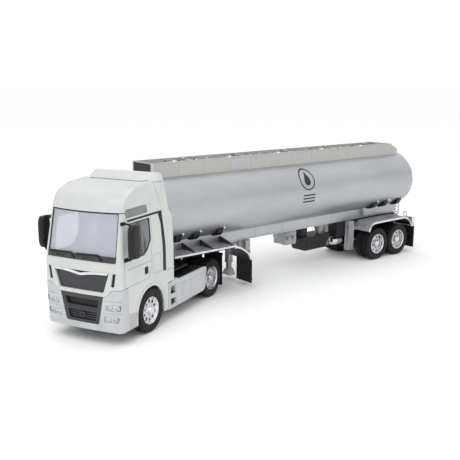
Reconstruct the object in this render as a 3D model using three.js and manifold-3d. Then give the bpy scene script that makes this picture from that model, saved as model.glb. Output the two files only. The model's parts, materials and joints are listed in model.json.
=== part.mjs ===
// Toy tank semi-trailer and cab-over tractor unit, coupled and turned in at the fifth wheel.
// Millimetres, +Z up, +Y towards the rear of the trailer, +X to the vehicle's left.
// Every moving or separately made piece is a mesh of its own.

import * as THREE from 'three';
import { mergeVertices } from 'three/addons/utils/BufferGeometryUtils.js';
import Module from 'manifold-3d';

const wasm = await Module();
wasm.setup();

// ---------------------------------------------------------------- driving dimensions
const GAP = 0.35;               // air left between two pieces that touch
const ARTICULATION = 23.6;      // degrees the tractor is turned in at the kingpin

// wheels and axles
const TYRE_R = 19;
const RIM_R = 11.8;
const SINGLE_W = 10.5;          // width of one front tyre
const TWIN_W = 21;              // width of a pair of rear tyres moulded together
const AXLE_R = 1.6;
const HUB_DEPTH = 4;            // how far the rod ends inside the hub face
const FRONT_TRACK = 37.4;       // vehicle centre to the outer face of a tyre
const DRIVE_TRACK = 36.2;
const TRAILER_TRACK = 37.4;

// tractor unit, measured from its own front face
const FRONT_AXLE_Y = 45.3;
const WHEELBASE = 112.3;
const REAR_AXLE_Y = FRONT_AXLE_Y + WHEELBASE;
const KINGPIN_Y = REAR_AXLE_Y - 18.2;
const CAB_WALL = 1.6;
const CAB_TOP_Z = 101.3;        // seam between the cab and its roof
const SCREEN_TOP_Z = 107.4;
const SCREEN_SILL_Z = 69;
const BUMPER_WRAP_Y = 11;       // how far the bumper reaches round the corner
const CAB_BACK_Y = 67.8;
const PANEL_BACK_Y = 82;        // rear edge of the side panels behind the cab
const RAIL_X = [10.6, 14];      // inner and outer face of a chassis rail
const RAIL_Z = [TYRE_R + 8, TYRE_R * 2 + 2];
const FLOOR_Z = RAIL_Z[1] + 4.4;
const CHASSIS_BACK_Y = REAR_AXLE_Y + TYRE_R + 1.4;

// trailer, measured from the kingpin
const TANK_HALF_W = 37.5;
const TANK_HALF_H = 34;
const TANK_WALL = 1.5;
const TANK_FRONT_Y = -29;
const TANK_BACK_Y = 336;
const DISH = 11.5;              // bulge of a tank end
const WEB_X = 12;               // outer face of the sub-frame
const WEB_WALL = 1.5;
const WEB_BOTTOM_Z = RAIL_Z[1] + 7.5;
const TANK_Z = WEB_BOTTOM_Z + 9 + TANK_HALF_H;  // height of the tank's axis
const COAMING_HALF_W = 16;
const COAMING_WALL = 1.6;
const COAMING_FLOOR_Z = TANK_Z + TANK_HALF_H + 2.5;
const COAMING_TOP_Z = COAMING_FLOOR_Z + 8;
const TANDEM_Y = [276.2, 276.2 + TYRE_R * 2 + 1.65];
const TANDEM_FRONT_Y = TANDEM_Y[0] - TYRE_R;
const TANDEM_BACK_Y = TANDEM_Y[1] + TYRE_R;
const PLATFORM_Z = WEB_BOTTOM_Z + 3;
const FENDER_Z = TYRE_R * 2 + 8;
const SIDE_X = 37.5;            // outer edge of platforms, fenders and flaps
const FLAP_T = 1.4;
const LEG_X = 14;
const LEG_Y = 86;

// ---------------------------------------------------------------- materials
function finish(color, roughness, metalness = 0) {
  return new THREE.MeshStandardMaterial({ color, roughness, metalness });
}
const paint = finish('#d9dbd8', 0.35);
const bumperPaint = finish('#c9cdd0', 0.35);
const blackPlastic = finish('#1c1d20', 0.5);
const charcoal = finish('#47484c', 0.5);
const rubber = finish('#1a1a1b', 0.85);
const chrome = finish('#d8d8da', 0.12, 1);
const silver = finish('#c3c5c8', 0.38, 0.7);
const greyPlastic = finish('#8e9092', 0.55);
const steel = finish('#9a9c9f', 0.35, 1);
const clear = finish('#b9bcc8', 0.1);
const lampClear = finish('#e4e6ea', 0.15);
const lampRed = finish('#9a1b1b', 0.25);

// ---------------------------------------------------------------- solids
const sorted = (a, b) => (a < b ? [a, b] : [b, a]);

// A closed three.js geometry as a solid that can be joined and cut.
function solid(geometry) {
  const bare = geometry.index ? geometry.toNonIndexed() : geometry.clone();
  for (const name of Object.keys(bare.attributes)) {
    if (name !== 'position') bare.deleteAttribute(name);
  }
  const merged = mergeVertices(bare, 1e-4);
  const points = merged.attributes.position;
  const corner = (i) => new THREE.Vector3().fromBufferAttribute(points, i);
  const triangles = [];
  let volume = 0;
  for (let i = 0; i < merged.index.count; i += 3) {
    const [a, b, c] = [0, 1, 2].map((k) => merged.index.getX(i + k));
    if (a === b || b === c || a === c) continue;
    triangles.push(a, b, c);
    volume += corner(a).dot(corner(b).cross(corner(c)));
  }
  if (volume < 0) triangles.reverse();
  return new wasm.Manifold(new wasm.Mesh({
    numProp: 3,
    vertProperties: new Float32Array(points.array),
    triVerts: new Uint32Array(triangles),
  }));
}

function geometryOf(body) {
  const mesh = body.getMesh();
  const geometry = new THREE.BufferGeometry();
  geometry.setAttribute('position', new THREE.BufferAttribute(mesh.vertProperties, 3));
  geometry.setIndex(new THREE.BufferAttribute(mesh.triVerts, 1));
  geometry.computeVertexNormals();
  return geometry;
}

const join = (first, ...rest) => rest.reduce((body, piece) => body.add(piece), first);
const cut = (first, ...rest) => rest.reduce((body, piece) => body.subtract(piece), first);

function box(xs, ys, zs) {
  const [x0, x1] = sorted(...xs);
  const [y0, y1] = sorted(...ys);
  const [z0, z1] = sorted(...zs);
  const geometry = new THREE.BoxGeometry(x1 - x0, y1 - y0, z1 - z0);
  return solid(geometry.translate((x0 + x1) / 2, (y0 + y1) / 2, (z0 + z1) / 2));
}

// An outline extruded between two planes; frame says where the outline's two axes and its depth lie.
function prism(outline, from, to, frame) {
  const [low, high] = sorted(from, to);
  const shape = new THREE.Shape(outline.map(([a, b]) => new THREE.Vector2(a, b)));
  const geometry = new THREE.ExtrudeGeometry(shape, { depth: high - low, bevelEnabled: false });
  return solid(geometry.translate(0, 0, low).applyMatrix4(frame));
}
const X = new THREE.Vector3(1, 0, 0);
const Y = new THREE.Vector3(0, 1, 0);
const Z = new THREE.Vector3(0, 0, 1);
const SIDE_VIEW = new THREE.Matrix4().makeBasis(Y, Z, X);
const FRONT_VIEW = new THREE.Matrix4().makeBasis(X, Z, Y.clone().negate());
const PLAN_VIEW = new THREE.Matrix4().makeBasis(X, Y, Z);
const sideProfile = (outline, x0, x1) => prism(outline, x0, x1, SIDE_VIEW);
const frontProfile = (outline, y0, y1) => prism(outline, -y0, -y1, FRONT_VIEW);
const planProfile = (outline, z0, z1) => prism(outline, z0, z1, PLAN_VIEW);

// A round bar along one axis, from its start to its end, at the two other coordinates.
function bar(axis, radius, start, end, [a, b], segments = 20, endRadius = radius) {
  const geometry = new THREE.CylinderGeometry(endRadius, radius, Math.abs(end - start), segments);
  const middle = (start + end) / 2;
  if (axis === 'x') geometry.rotateZ(-Math.PI / 2).translate(middle, a, b);
  if (axis === 'y') geometry.translate(a, middle, b);
  if (axis === 'z') geometry.rotateX(Math.PI / 2).translate(a, b, middle);
  return solid(geometry);
}

// A profile of [radius, distance along X] points turned about the X axis.
function turnedAboutX(profile, segments, side = 1) {
  const points = profile.map(([r, x]) => new THREE.Vector2(r, x * side));
  return solid(new THREE.LatheGeometry(points, segments).rotateZ(-Math.PI / 2));
}

// Moves every edge of a convex outline inwards by a distance.
function inset(outline, distance) {
  const centre = outline.reduce(([a, b], [x, y]) => [a + x, b + y], [0, 0]).map((v) => v / outline.length);
  const lines = outline.map(([x, y], i) => {
    const [u, v] = outline[(i + 1) % outline.length];
    const length = Math.hypot(u - x, v - y);
    let [nx, ny] = [-(v - y) / length, (u - x) / length];
    if (nx * (centre[0] - x) + ny * (centre[1] - y) < 0) [nx, ny] = [-nx, -ny];
    return [nx, ny, nx * x + ny * y + distance];
  });
  return lines.map(([a2, b2, c2], i) => {
    const [a1, b1, c1] = lines[(i + lines.length - 1) % lines.length];
    const det = a1 * b2 - a2 * b1;
    return [(c1 * b2 - c2 * b1) / det, (a1 * c2 - a2 * c1) / det];
  });
}

// A closed skin through a stack of rings that all have the same number of points.
function loft(rings) {
  const count = rings[0].length;
  const last = rings.length - 1;
  const positions = rings.flat(2);
  const index = [];
  for (let level = 0; level < last; level += 1) {
    for (let i = 0; i < count; i += 1) {
      const a = level * count + i;
      const b = level * count + ((i + 1) % count);
      index.push(a, b, b + count, a, b + count, a + count);
    }
  }
  for (const [level, flip] of [[0, true], [last, false]]) {
    const flat = rings[level].map(([x, y]) => new THREE.Vector2(x, y));
    for (const face of THREE.ShapeUtils.triangulateShape(flat, [])) {
      const corners = face.map((i) => i + level * count);
      index.push(...(flip ? corners.reverse() : corners));
    }
  }
  const geometry = new THREE.BufferGeometry();
  geometry.setAttribute('position', new THREE.Float32BufferAttribute(positions, 3));
  geometry.setIndex(index);
  return solid(geometry);
}

// ---------------------------------------------------------------- the assembly
const assembly = new THREE.Group();
const trailer = new THREE.Group();
const turntable = new THREE.Group();
const tractor = new THREE.Group();
assembly.add(trailer, turntable);
turntable.rotation.z = THREE.MathUtils.degToRad(ARTICULATION);
turntable.add(tractor);
tractor.position.y = -KINGPIN_Y;

function place(parent, name, body, material) {
  const mesh = new THREE.Mesh(geometryOf(body), material);
  mesh.name = name;
  parent.add(mesh);
  return mesh;
}
const SIDES = [['left', 1], ['right', -1]];

// ---------------------------------------------------------------- wheels
const WHEEL_SEGMENTS = 20;

function tyre(width, side) {
  const bore = RIM_R + GAP;
  const shoulder = TYRE_R - 1.6;
  const half = width / 2;
  const outer = [[bore, -0.6], [shoulder, 0], [TYRE_R, -1.8]];
  const groove = width > TWIN_W * 0.8
    ? [[TYRE_R, -half + 1.4], [TYRE_R - 3, -half + 0.6], [TYRE_R - 3, -half - 0.6], [TYRE_R, -half - 1.4]]
    : [];
  const inner = [[TYRE_R, -width + 1.8], [shoulder, -width], [bore, -width + 0.6], [bore, -0.6]];
  return turnedAboutX([...outer, ...groove, ...inner], WHEEL_SEGMENTS, side);
}

// The hub's blind bore takes the rod's end; dish is how deep the wheel disc lies in the rim.
function rim(width, dish, hub, side) {
  const bore = AXLE_R + GAP;
  const lip = 10.6;
  const disc = 1.8;
  return turnedAboutX([
    [0, hub], [3.6, hub], [4.6, -dish], [lip - 0.4, -dish], [lip, -0.5], [RIM_R, -0.5],
    [RIM_R, -width + 0.8], [lip, -width + 0.8], [lip - 0.4, -dish - disc], [4.2, -HUB_DEPTH - 5],
    [bore, -HUB_DEPTH - 5], [bore, -HUB_DEPTH + GAP], [0, -HUB_DEPTH + GAP],
  ], WHEEL_SEGMENTS, side);
}

function wheelSet(parent, prefix, y, track, width, dish, hub) {
  const axle = new THREE.Group();
  axle.position.set(0, y, TYRE_R);
  parent.add(axle);
  const reach = track - HUB_DEPTH;
  place(axle, `${prefix}_axle_rod`, bar('x', AXLE_R, -reach, reach, [0, 0], 16), steel);
  for (const [label, side] of SIDES) {
    place(axle, `${prefix}_rim_${label}`, rim(width, dish, hub, side), chrome).position.x = side * track;
    place(axle, `${prefix}_tyre_${label}`, tyre(width, side), rubber).position.x = side * track;
  }
}
wheelSet(tractor, 'tractor_front', FRONT_AXLE_Y, FRONT_TRACK, SINGLE_W, 2.4, 1.2);
wheelSet(tractor, 'tractor_rear', FRONT_AXLE_Y + WHEELBASE, DRIVE_TRACK, TWIN_W, 6.5, -0.8);
wheelSet(trailer, 'trailer_front', TANDEM_Y[0], TRAILER_TRACK, TWIN_W, 6.5, -0.8);
wheelSet(trailer, 'trailer_rear', TANDEM_Y[1], TRAILER_TRACK, TWIN_W, 6.5, -0.8);

// ---------------------------------------------------------------- cab form
// Height, front face, how far the face curves back at the corners, and half width.
const CAB_SECTIONS = [
  [12, 0.6, 2.0, 37.1], [36, 0, 1.8, 37.5], [60, 0, 1.8, 37.5], [69, 0.3, 2.0, 37.4],
  [88, 2.8, 3.6, 36.6], [107, 5.4, 5.3, 35.5], [114, 6.8, 6.4, 35.1], [119, 9, 8, 34.9],
  [122, 13, 9, 34.6], [126, 24, 10, 34.1], [131, 40, 10, 33.5],
];
const CORNER_R = 4;
const LOFT_BACK_Y = 92;

function cabRing([z, front, bow, halfWidth], depth) {
  const corner = CORNER_R;
  const w = halfWidth - depth;
  const flat = w - corner;
  const y0 = front + depth;
  const yc = y0 + bow * (flat / w) ** 2;
  const half = [];
  for (let i = 1; i <= 4; i += 1) half.push([(flat * i) / 4, y0 + bow * ((flat * i) / 4 / w) ** 2]);
  for (let i = 1; i <= 4; i += 1) {
    const t = (i / 4) * (Math.PI / 2);
    half.push([flat + corner * Math.sin(t), yc + corner * (1 - Math.cos(t))]);
  }
  half.push([w, LOFT_BACK_Y - depth]);
  const mirrored = half.map(([x, y]) => [-x, y]).reverse();
  return [[0, y0], ...half, ...mirrored].map(([x, y]) => [x, y, z]);
}
const cabForm = (depth) => loft(CAB_SECTIONS.map((section) => cabRing(section, depth)));
const skin = (outer, inner) => cabForm(outer).subtract(cabForm(inner));
const FAR = 60;
const halfSpace = (side) => [side * 5, side * FAR];

const cabBody = cabForm(0);
const cabSkin = skin(0, CAB_WALL);
const SCREEN = [[-33.4, SCREEN_SILL_Z], [33.4, SCREEN_SILL_Z], [32.2, SCREEN_TOP_Z + 3],
  [-32.2, SCREEN_TOP_Z + 3]];
const SIDE_WINDOW = [[13, 71.5], [16, 69], [36, 69], [42, 73], [47, 80], [46.6, 98.6], [16.6, 98.6]];
const UPPER_WINDOW = [[12, 103], [44.5, 103], [43.5, 110], [13.6, 110]];
const GRILLE = [[-27, 60.5], [27, 60.5], [21.6, 44.4], [-21.6, 44.4]];
const LOWER_GRILLE = [[-22, 45], [22, 45], [16.1, 17.2], [-16.1, 17.2]];
const VENT = [[33.2, 61.2], [30.4, 60.6], [28.6, 50], [31.6, 49.9]];
const HIGH_LAMP = [[22.8, 29.6], [36.2, 30.4], [36.6, 35.6], [23.4, 34.8]];
const LOW_LAMP = [[20.8, 19.8], [34.8, 20.6], [35.4, 25.6], [21.6, 25]];
// Wheel arch: distance from the axle and height, both in tyre radii.
const ARCH = [[-1.047, 0.421], [-1.047, 1.158], [-0.911, 1.553], [-0.621, 1.911], [-0.226, 2.084],
  [0.247, 2.095], [0.642, 1.895], [0.932, 1.526], [1.047, 1.158], [1.195, 0.421]]
  .map(([y, z]) => [FRONT_AXLE_Y + y * TYRE_R, z * TYRE_R]);
const BUMPER_TOP = [[50, 49], [29.2, 47.1], [23.2, 41.2], [-23.2, 41.2], [-29.2, 47.1], [-50, 49]];
const mirrorX = (outline) => outline.map(([x, z]) => [-x, z]);

// The seam under the roof: level along the doors, stepped up over the windscreen.
const roofSeam = (rise) => [[-9, SCREEN_TOP_Z + rise], [12.8, SCREEN_TOP_Z + rise],
  [14.5, CAB_TOP_Z + rise]];

// ---------------------------------------------------------------- cab shell
const cabSide = [[-9, 5], ...roofSeam(-GAP), [62, CAB_TOP_Z - GAP], [65.6, 90.5], [CAB_BACK_Y, 71],
  [CAB_BACK_Y, 48], [PANEL_BACK_Y, 48], [PANEL_BACK_Y, 36.5], [72.6, 36.5], [72.6, 5]];
const cabHollow = [[-9, 5], [-9, 120], [62 - CAB_WALL, 120], [62 - CAB_WALL, CAB_TOP_Z],
  [65.6 - CAB_WALL, 90.3], [CAB_BACK_Y - CAB_WALL, 71], [CAB_BACK_Y - CAB_WALL, FLOOR_Z],
  [99, FLOOR_Z], [99, 5]];
const through = (outline, side) => sideProfile(outline, ...halfSpace(side));

const bumperSpace = frontProfile([...BUMPER_TOP, [-50, 5], [50, 5]], -9, BUMPER_WRAP_Y + GAP);
let cabShell = cabBody.intersect(sideProfile(cabSide, -FAR, FAR));
cabShell = cut(
  cabShell,
  cabForm(CAB_WALL).intersect(sideProfile(cabHollow, -FAR, FAR)),
  bumperSpace,
  sideProfile(ARCH, -FAR, FAR),
  frontProfile(SCREEN, -9, 20),
  frontProfile(GRILLE, -9, 6),
  frontProfile(VENT, -9, 8),
  frontProfile(mirrorX(VENT), -9, 8),
);
for (const [, side] of SIDES) {
  cabShell = cut(cabShell, through(SIDE_WINDOW, side));
}
place(tractor, 'cab_shell', cabShell, paint);

// ---------------------------------------------------------------- roof, spoiler, side deflectors
// Roof and side deflectors are one moulding; the spoiler is set on top of it.
const SPOILER_BASE_Z = 126.3;
const roofLine = (rise) => [[9, 119.5 + rise], [14, 122 + rise], [23, 124.2 + rise],
  [43, 126.3 + rise], [54.5, 127.3 + rise]];
const roofSide = [...roofSeam(GAP).slice().reverse(), [-9, 119.5], ...roofLine(0), [60.4, 115],
  [66, CAB_TOP_Z + GAP]];
const roofHollow = [[-9, 90], [-9, 119.5 - CAB_WALL], ...roofLine(-CAB_WALL).slice(0, 4),
  [54.5 - CAB_WALL, 127.3 - CAB_WALL], [60.4 - CAB_WALL, 115], [66 - CAB_WALL, 90]];
const deflectorSide = [[69.4, 48 + GAP], [69.4, 71], [67.2, 91], [66, CAB_TOP_Z + GAP], [60.4, 115],
  [55.4, 125.4], [56.4, SPOILER_BASE_Z - GAP], [72.4, SPOILER_BASE_Z - GAP], [77.4, 100],
  [PANEL_BACK_Y, 94.7], [PANEL_BACK_Y, 48 + GAP]];
let roof = cabBody.intersect(sideProfile(roofSide, -FAR, FAR));
roof = cut(roof, cabForm(CAB_WALL).intersect(sideProfile(roofHollow, -FAR, FAR)));
for (const [, side] of SIDES) {
  roof = cut(roof, through(UPPER_WINDOW, side));
  roof = join(roof, cabSkin.intersect(through(deflectorSide, side)));
}
place(tractor, 'cab_roof', roof, paint);

const spoilerForm = loft([
  [[-27, 50], [27, 50], [34.6, 62], [35.4, 72.4], [-35.4, 72.4], [-34.6, 62]]
    .map(([x, y]) => [x, y, SPOILER_BASE_Z]),
  [[-26, 59], [26, 59], [32.4, 66], [33, 71.6], [-33, 71.6], [-32.4, 66]].map(([x, y]) => [x, y, 132.4]),
]);
const underSpoiler = sideProfile([[-9, 90], [-9, 119.5 + GAP], ...roofLine(GAP),
  [55.4, 127.3 + GAP], [56.2, 90]], -FAR, FAR);
place(tractor, 'roof_spoiler', cut(spoilerForm, underSpoiler), paint);

// ---------------------------------------------------------------- glass and trim
// One clear moulding lies behind the windscreen, the side windows and the upper windows.
const GLASS_DEPTH = CAB_WALL + GAP;
const glassSide = [[-9, 67], [-9, 112], [49.5, 112], [49.5, 67]];
place(tractor, 'cab_glazing', skin(GLASS_DEPTH, GLASS_DEPTH + 0.9).intersect(
  sideProfile(glassSide, -FAR, FAR)), clear);

// The dark sill with its two moulded wipers lies on the glass.
const SILL_TOP_Z = 73.6;
const sill = [[-33, SCREEN_SILL_Z + GAP], [33, SCREEN_SILL_Z + GAP], [32.8, SILL_TOP_Z], [-32.8, SILL_TOP_Z]];
const blade = (x) => [[x, SILL_TOP_Z - 1], [x + 21, SILL_TOP_Z - 0.4], [x + 20, SILL_TOP_Z + 1.6],
  [x, SILL_TOP_Z + 1]];
let cowl = skin(-0.6, 0.15).intersect(frontProfile(sill, -9, 8));
for (const x of [-30, -4]) cowl = join(cowl, skin(-1, 0.15).intersect(frontProfile(blade(x), -9, 8)));
place(tractor, 'wiper_cowl', cowl, charcoal);

// The upper grille and the two corner vents stand on one plate behind the front wall.
const plateSkin = skin(CAB_WALL + GAP, CAB_WALL + GAP + 0.9);
const trimToPlate = skin(0.5, CAB_WALL + GAP + 0.9);
const raisedFace = (outline) => trimToPlate.intersect(frontProfile(inset(outline, GAP), -9, 8));
place(tractor, 'upper_grille', join(
  plateSkin.intersect(frontProfile([[-31, 49.5], [-31, 61.5], [31, 61.5], [31, 49.5], [21, 44.2], [-21, 44.2]],
    -9, 8)),
  raisedFace(GRILLE), raisedFace(VENT), raisedFace(mirrorX(VENT)),
), charcoal);
const strip = [[-26, 59.4], [-13, 58.6], [0, 56.4], [13, 58.6], [26, 59.4], [24.8, 57.4], [12, 56.4],
  [0, 54], [-12, 56.4], [-24.8, 57.4]];
place(tractor, 'grille_strip', skin(-0.5, 0.15).intersect(frontProfile(strip, -9, 6)), chrome);

// ---------------------------------------------------------------- bumper, lower grille, lamps
const bumperTop = BUMPER_TOP.map(([x, z]) => [x, z - GAP]);
const bumperFace = frontProfile([...bumperTop, [-50, 5], [50, 5]], -9, BUMPER_WRAP_Y);
let bumper = skin(0, 1.8).intersect(bumperFace);
bumper = cut(bumper, frontProfile(LOWER_GRILLE, -9, 8));
for (const side of [1, -1]) {
  for (const lamp of [HIGH_LAMP, LOW_LAMP]) {
    bumper = cut(bumper, frontProfile(side > 0 ? lamp : mirrorX(lamp), -9, 9));
  }
}
place(tractor, 'front_bumper', bumper, bumperPaint);

const grilleFace = inset([...LOWER_GRILLE.slice(2), [-20.9, 40.8], [20.9, 40.8]], GAP);
const RECESSES = [[[-16.6, 37.4], [16.6, 37.4], [15.2, 31], [-15.2, 31]],
  [[-14.4, 27], [14.4, 27], [13, 19.6], [-13, 19.6]]];
let lowerGrille = skin(0.5, 4.2).intersect(frontProfile(grilleFace, -9, 9));
for (const recess of RECESSES) {
  lowerGrille = cut(lowerGrille, skin(-2, 2.8).intersect(frontProfile(recess, -9, 9)));
}
place(tractor, 'lower_grille', lowerGrille, blackPlastic);

const LAMP_PLATE = [[20.4, 18.6], [34.4, 18.6], [35, 37], [22.6, 37]];
for (const [label, side] of SIDES) {
  const facing = (outline) => (side > 0 ? outline : mirrorX(outline));
  const lens = (outline) => skin(0.3, 2.9).intersect(frontProfile(facing(inset(outline, GAP)), -9, 9));
  const plate = skin(1.8 + GAP, 2.9).intersect(frontProfile(facing(LAMP_PLATE), -9, 9));
  place(tractor, `headlight_${label}`, join(plate, lens(HIGH_LAMP), lens(LOW_LAMP)), lampClear);
}

// ---------------------------------------------------------------- mirrors
for (const [label, side] of SIDES) {
  const across = (a, b) => [side * a, side * b];
  const shell = planProfile([[41, 12.4], [41, 9], [42.4, 7.4], [46, 7.4], [47.4, 9.4], [47.4, 12.4]]
    .map(([x, y]) => [side * x, y]), 73, 98.5);
  const topArm = box(across(33, 43), [8.6, 11.4], [98.5, 100.4]);
  const topFoot = box(across(41, 44), [8.6, 11.4], [97, 100.4]);
  const lowArm = box(across(33, 44), [8.6, 11.4], [70, 72]);
  const lowFoot = box(across(41.4, 44), [8.6, 11.4], [70, 74]);
  const mirror = cut(join(shell, topArm, topFoot, lowArm, lowFoot), cabForm(-GAP));
  place(tractor, `mirror_${label}`, mirror, blackPlastic);
}

// ---------------------------------------------------------------- inside the cab
const SEAT_X = [8, 27];
let interior = join(
  box([-33, 33], [13, CAB_BACK_Y - CAB_WALL - 0.8], [FLOOR_Z, FLOOR_Z + 1.6]),
  sideProfile([[13, FLOOR_Z + 1], [8.4, 52], [8.4, 63.5], [12, 66.4], [19, 64.6], [17, 55], [15, FLOOR_Z + 1]],
    -31, 31),
  box([-33, 33], [51, CAB_BACK_Y - CAB_WALL - 0.8], [FLOOR_Z + 1, 61]),
);
for (const side of [1, -1]) {
  interior = join(
    interior,
    box(SEAT_X.map((x) => side * x), [27, 43], [FLOOR_Z + 1, 56]),
    sideProfile([[39.5, 55], [43, 55], [47.5, 84], [44, 84]], side * SEAT_X[0], side * SEAT_X[1]),
  );
}
place(tractor, 'cabin_interior', interior, charcoal);

const WHEEL_AT = [17.5, 22.6, 68.6];
const steeringRing = new THREE.TorusGeometry(6.2, 0.8, 6, 20).rotateX(-0.5).translate(...WHEEL_AT);
const steeringSpoke = new THREE.BoxGeometry(12, 1.2, 1.2).rotateX(-0.5).translate(...WHEEL_AT);
place(tractor, 'steering_wheel', join(
  solid(steeringRing),
  solid(steeringSpoke),
  solid(new THREE.BoxGeometry(1.6, 1.6, 6.2).rotateX(-0.5).translate(WHEEL_AT[0], WHEEL_AT[1] - 1.2,
    WHEEL_AT[2] - 2.4)),
), blackPlastic);

// ---------------------------------------------------------------- tractor chassis
const CARRIER_HALF = 4.4;
const DECK_Z = [RAIL_Z[1], RAIL_Z[1] + 1.6];
const RAIL_FRONT_Y = 14;
let chassis = box([-RAIL_X[1], RAIL_X[1]], [RAIL_FRONT_Y, CHASSIS_BACK_Y], [RAIL_Z[0] - 3, RAIL_Z[0]]);
for (const side of [1, -1]) {
  const across = RAIL_X.map((x) => side * x);
  chassis = join(chassis, box(across, [RAIL_FRONT_Y, CHASSIS_BACK_Y], [RAIL_Z[0] - 1, RAIL_Z[1]]));
  for (const y of [FRONT_AXLE_Y, REAR_AXLE_Y]) {
    chassis = join(chassis, box(across, [y - CARRIER_HALF, y + CARRIER_HALF], [TYRE_R - 4.4, RAIL_Z[0] - 2]));
  }
}
chassis = join(
  chassis,
  box([-30, 30], [84, 121], DECK_Z),
  box([-10, 10], [84, 85.4], [DECK_Z[0], DECK_Z[0] + 13]),
  ...[-6, 0, 6].map((x) => bar('y', 1.2, 85, 87.6, [x, DECK_Z[0] + 9], 10)),
  box([-31, 31], [30, 36], [RAIL_Z[1] - 1, FLOOR_Z - GAP]),
  box([-31, 31], [58, 64], [RAIL_Z[1] - 1, FLOOR_Z - GAP]),
);
for (const y of [FRONT_AXLE_Y, REAR_AXLE_Y]) {
  chassis = cut(chassis, bar('x', AXLE_R + GAP, -20, 20, [y, TYRE_R], 16));
}
place(tractor, 'chassis_frame', chassis, blackPlastic);

// Fifth wheel: a round plate with a keyhole that the kingpin sits in.
const PIN_R = 2.2;
const FIFTH_Z = [RAIL_Z[1] + GAP, RAIL_Z[1] + 4.2];
const plate = bar('z', 16.5, FIFTH_Z[0], FIFTH_Z[1], [0, KINGPIN_Y], 28);
const mouth = planProfile([[-PIN_R - GAP, KINGPIN_Y], [PIN_R + GAP, KINGPIN_Y], [5, KINGPIN_Y + 20],
  [-5, KINGPIN_Y + 20]], FIFTH_Z[0] - 5, FIFTH_Z[1] + 5);
const pinBore = bar('z', PIN_R + GAP, FIFTH_Z[0] - 5, FIFTH_Z[1] + 5, [0, KINGPIN_Y], 20);
place(tractor, 'fifth_wheel', cut(plate, mouth, pinBore), blackPlastic);

// Side fairings with two step openings, and a thin panel in front of the drive wheel.
const FAIRING_X = [26, 37.6];
const FAIRING_WALL = 1.4;
const FAIRING_BACK_Y = REAR_AXLE_Y - 20.9;
const fairingSide = [[73, 11.4], [FAIRING_BACK_Y, 11.9], [FAIRING_BACK_Y, 35], [90, 35.2], [88, 36.8],
  [73, 35.2]];
const fairingTail = [[-2.7, 12], [0, 12.1], [5, 16.4], [5.5, 34], [-2.7, 34.8]]
  .map(([y, z]) => [FAIRING_BACK_Y + y, z]);
const steps = [[[76.4, 24.6], [84.4, 24.6], [84.4, 31.4], [76.4, 31.4]],
  [[76.4, 14.6], [84.4, 14.6], [84.4, 20.4], [76.4, 20.4]]];
for (const [label, side] of SIDES) {
  const across = (a, b) => [side * a, side * b];
  let fairing = join(
    sideProfile(fairingSide, ...across(...FAIRING_X)),
    sideProfile(fairingTail, ...across(FAIRING_X[1] - 1, FAIRING_X[1])),
  );
  const hollow = sideProfile(inset([[88, 11.4], [FAIRING_BACK_Y, 11.4], [FAIRING_BACK_Y, 35], [88, 35]],
    FAIRING_WALL), ...across(FAIRING_X[0] - 1, FAIRING_X[1] - FAIRING_WALL));
  fairing = cut(fairing, hollow,
    box(across(20, FAIRING_X[1] - FAIRING_WALL), [89.4, FAIRING_BACK_Y - 1.7], [5, 13]));
  for (const opening of steps) fairing = cut(fairing, sideProfile(opening, ...across(31, 40)));
  fairing = cut(fairing, box(across(20, FAIRING_X[1] - 1), [REAR_AXLE_Y - TYRE_R - 0.9, REAR_AXLE_Y], [0, 40]));
  place(tractor, `side_fairing_${label}`, fairing, bumperPaint);
}

// Rear light bar with the two mudflaps of the tractor, one moulding.
const BAR_Z = [RAIL_Z[1] - 3.4, RAIL_Z[1] - 0.8];
const BAR_Y = [CHASSIS_BACK_Y + GAP, CHASSIS_BACK_Y + 3];
let lightBar = box([-36, 36], BAR_Y, BAR_Z);
for (const side of [1, -1]) {
  lightBar = join(lightBar, box([side * 16, side * 36], [BAR_Y[0], BAR_Y[0] + FLAP_T], [6, BAR_Z[1]]));
}
place(tractor, 'drive_mudflaps', lightBar, rubber);

// ---------------------------------------------------------------- tank
const TANK_SEGMENTS = 40;
function ellipsePrism(grow, y0, y1) {
  const outline = [];
  for (let i = 0; i < TANK_SEGMENTS; i += 1) {
    const t = (i / TANK_SEGMENTS) * 2 * Math.PI;
    outline.push([(TANK_HALF_W + grow) * Math.cos(t), TANK_Z + (TANK_HALF_H + grow) * Math.sin(t)]);
  }
  return frontProfile(outline, y0, y1);
}
place(trailer, 'tank_barrel', cut(ellipsePrism(0, TANK_FRONT_Y, TANK_BACK_Y),
  ellipsePrism(-TANK_WALL, TANK_FRONT_Y - 1, TANK_BACK_Y + 1)), silver);

// A dished end: a rim flush with the barrel and a spigot that slips inside it.
function tankEnd(y, direction) {
  const outer = [[1, 0]];
  for (let i = 0; i <= 4; i += 1) {
    const t = (i / 4) * (Math.PI / 2);
    outer.push([Math.cos(t), 1.5 + DISH * Math.sin(t)]);
  }
  outer[outer.length - 1][0] = 0;
  const spigot = 1 - (TANK_WALL + GAP) / TANK_HALF_H;
  const profile = [[0, DISH - 0.5], [spigot - 0.3, 6], [spigot - 0.05, 1], [spigot - 0.05, -5], [spigot, -5],
    [spigot, 0], ...outer];
  const points = profile.map(([r, h]) => new THREE.Vector2(r, h * direction));
  const geometry = new THREE.LatheGeometry(points, TANK_SEGMENTS);
  geometry.scale(TANK_HALF_W, 1, TANK_HALF_H).translate(0, y + direction * GAP, TANK_Z);
  return solid(geometry);
}
place(trailer, 'tank_front_end', tankEnd(TANK_FRONT_Y, -1), silver);
place(trailer, 'tank_rear_end', tankEnd(TANK_BACK_Y, 1), silver);

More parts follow.
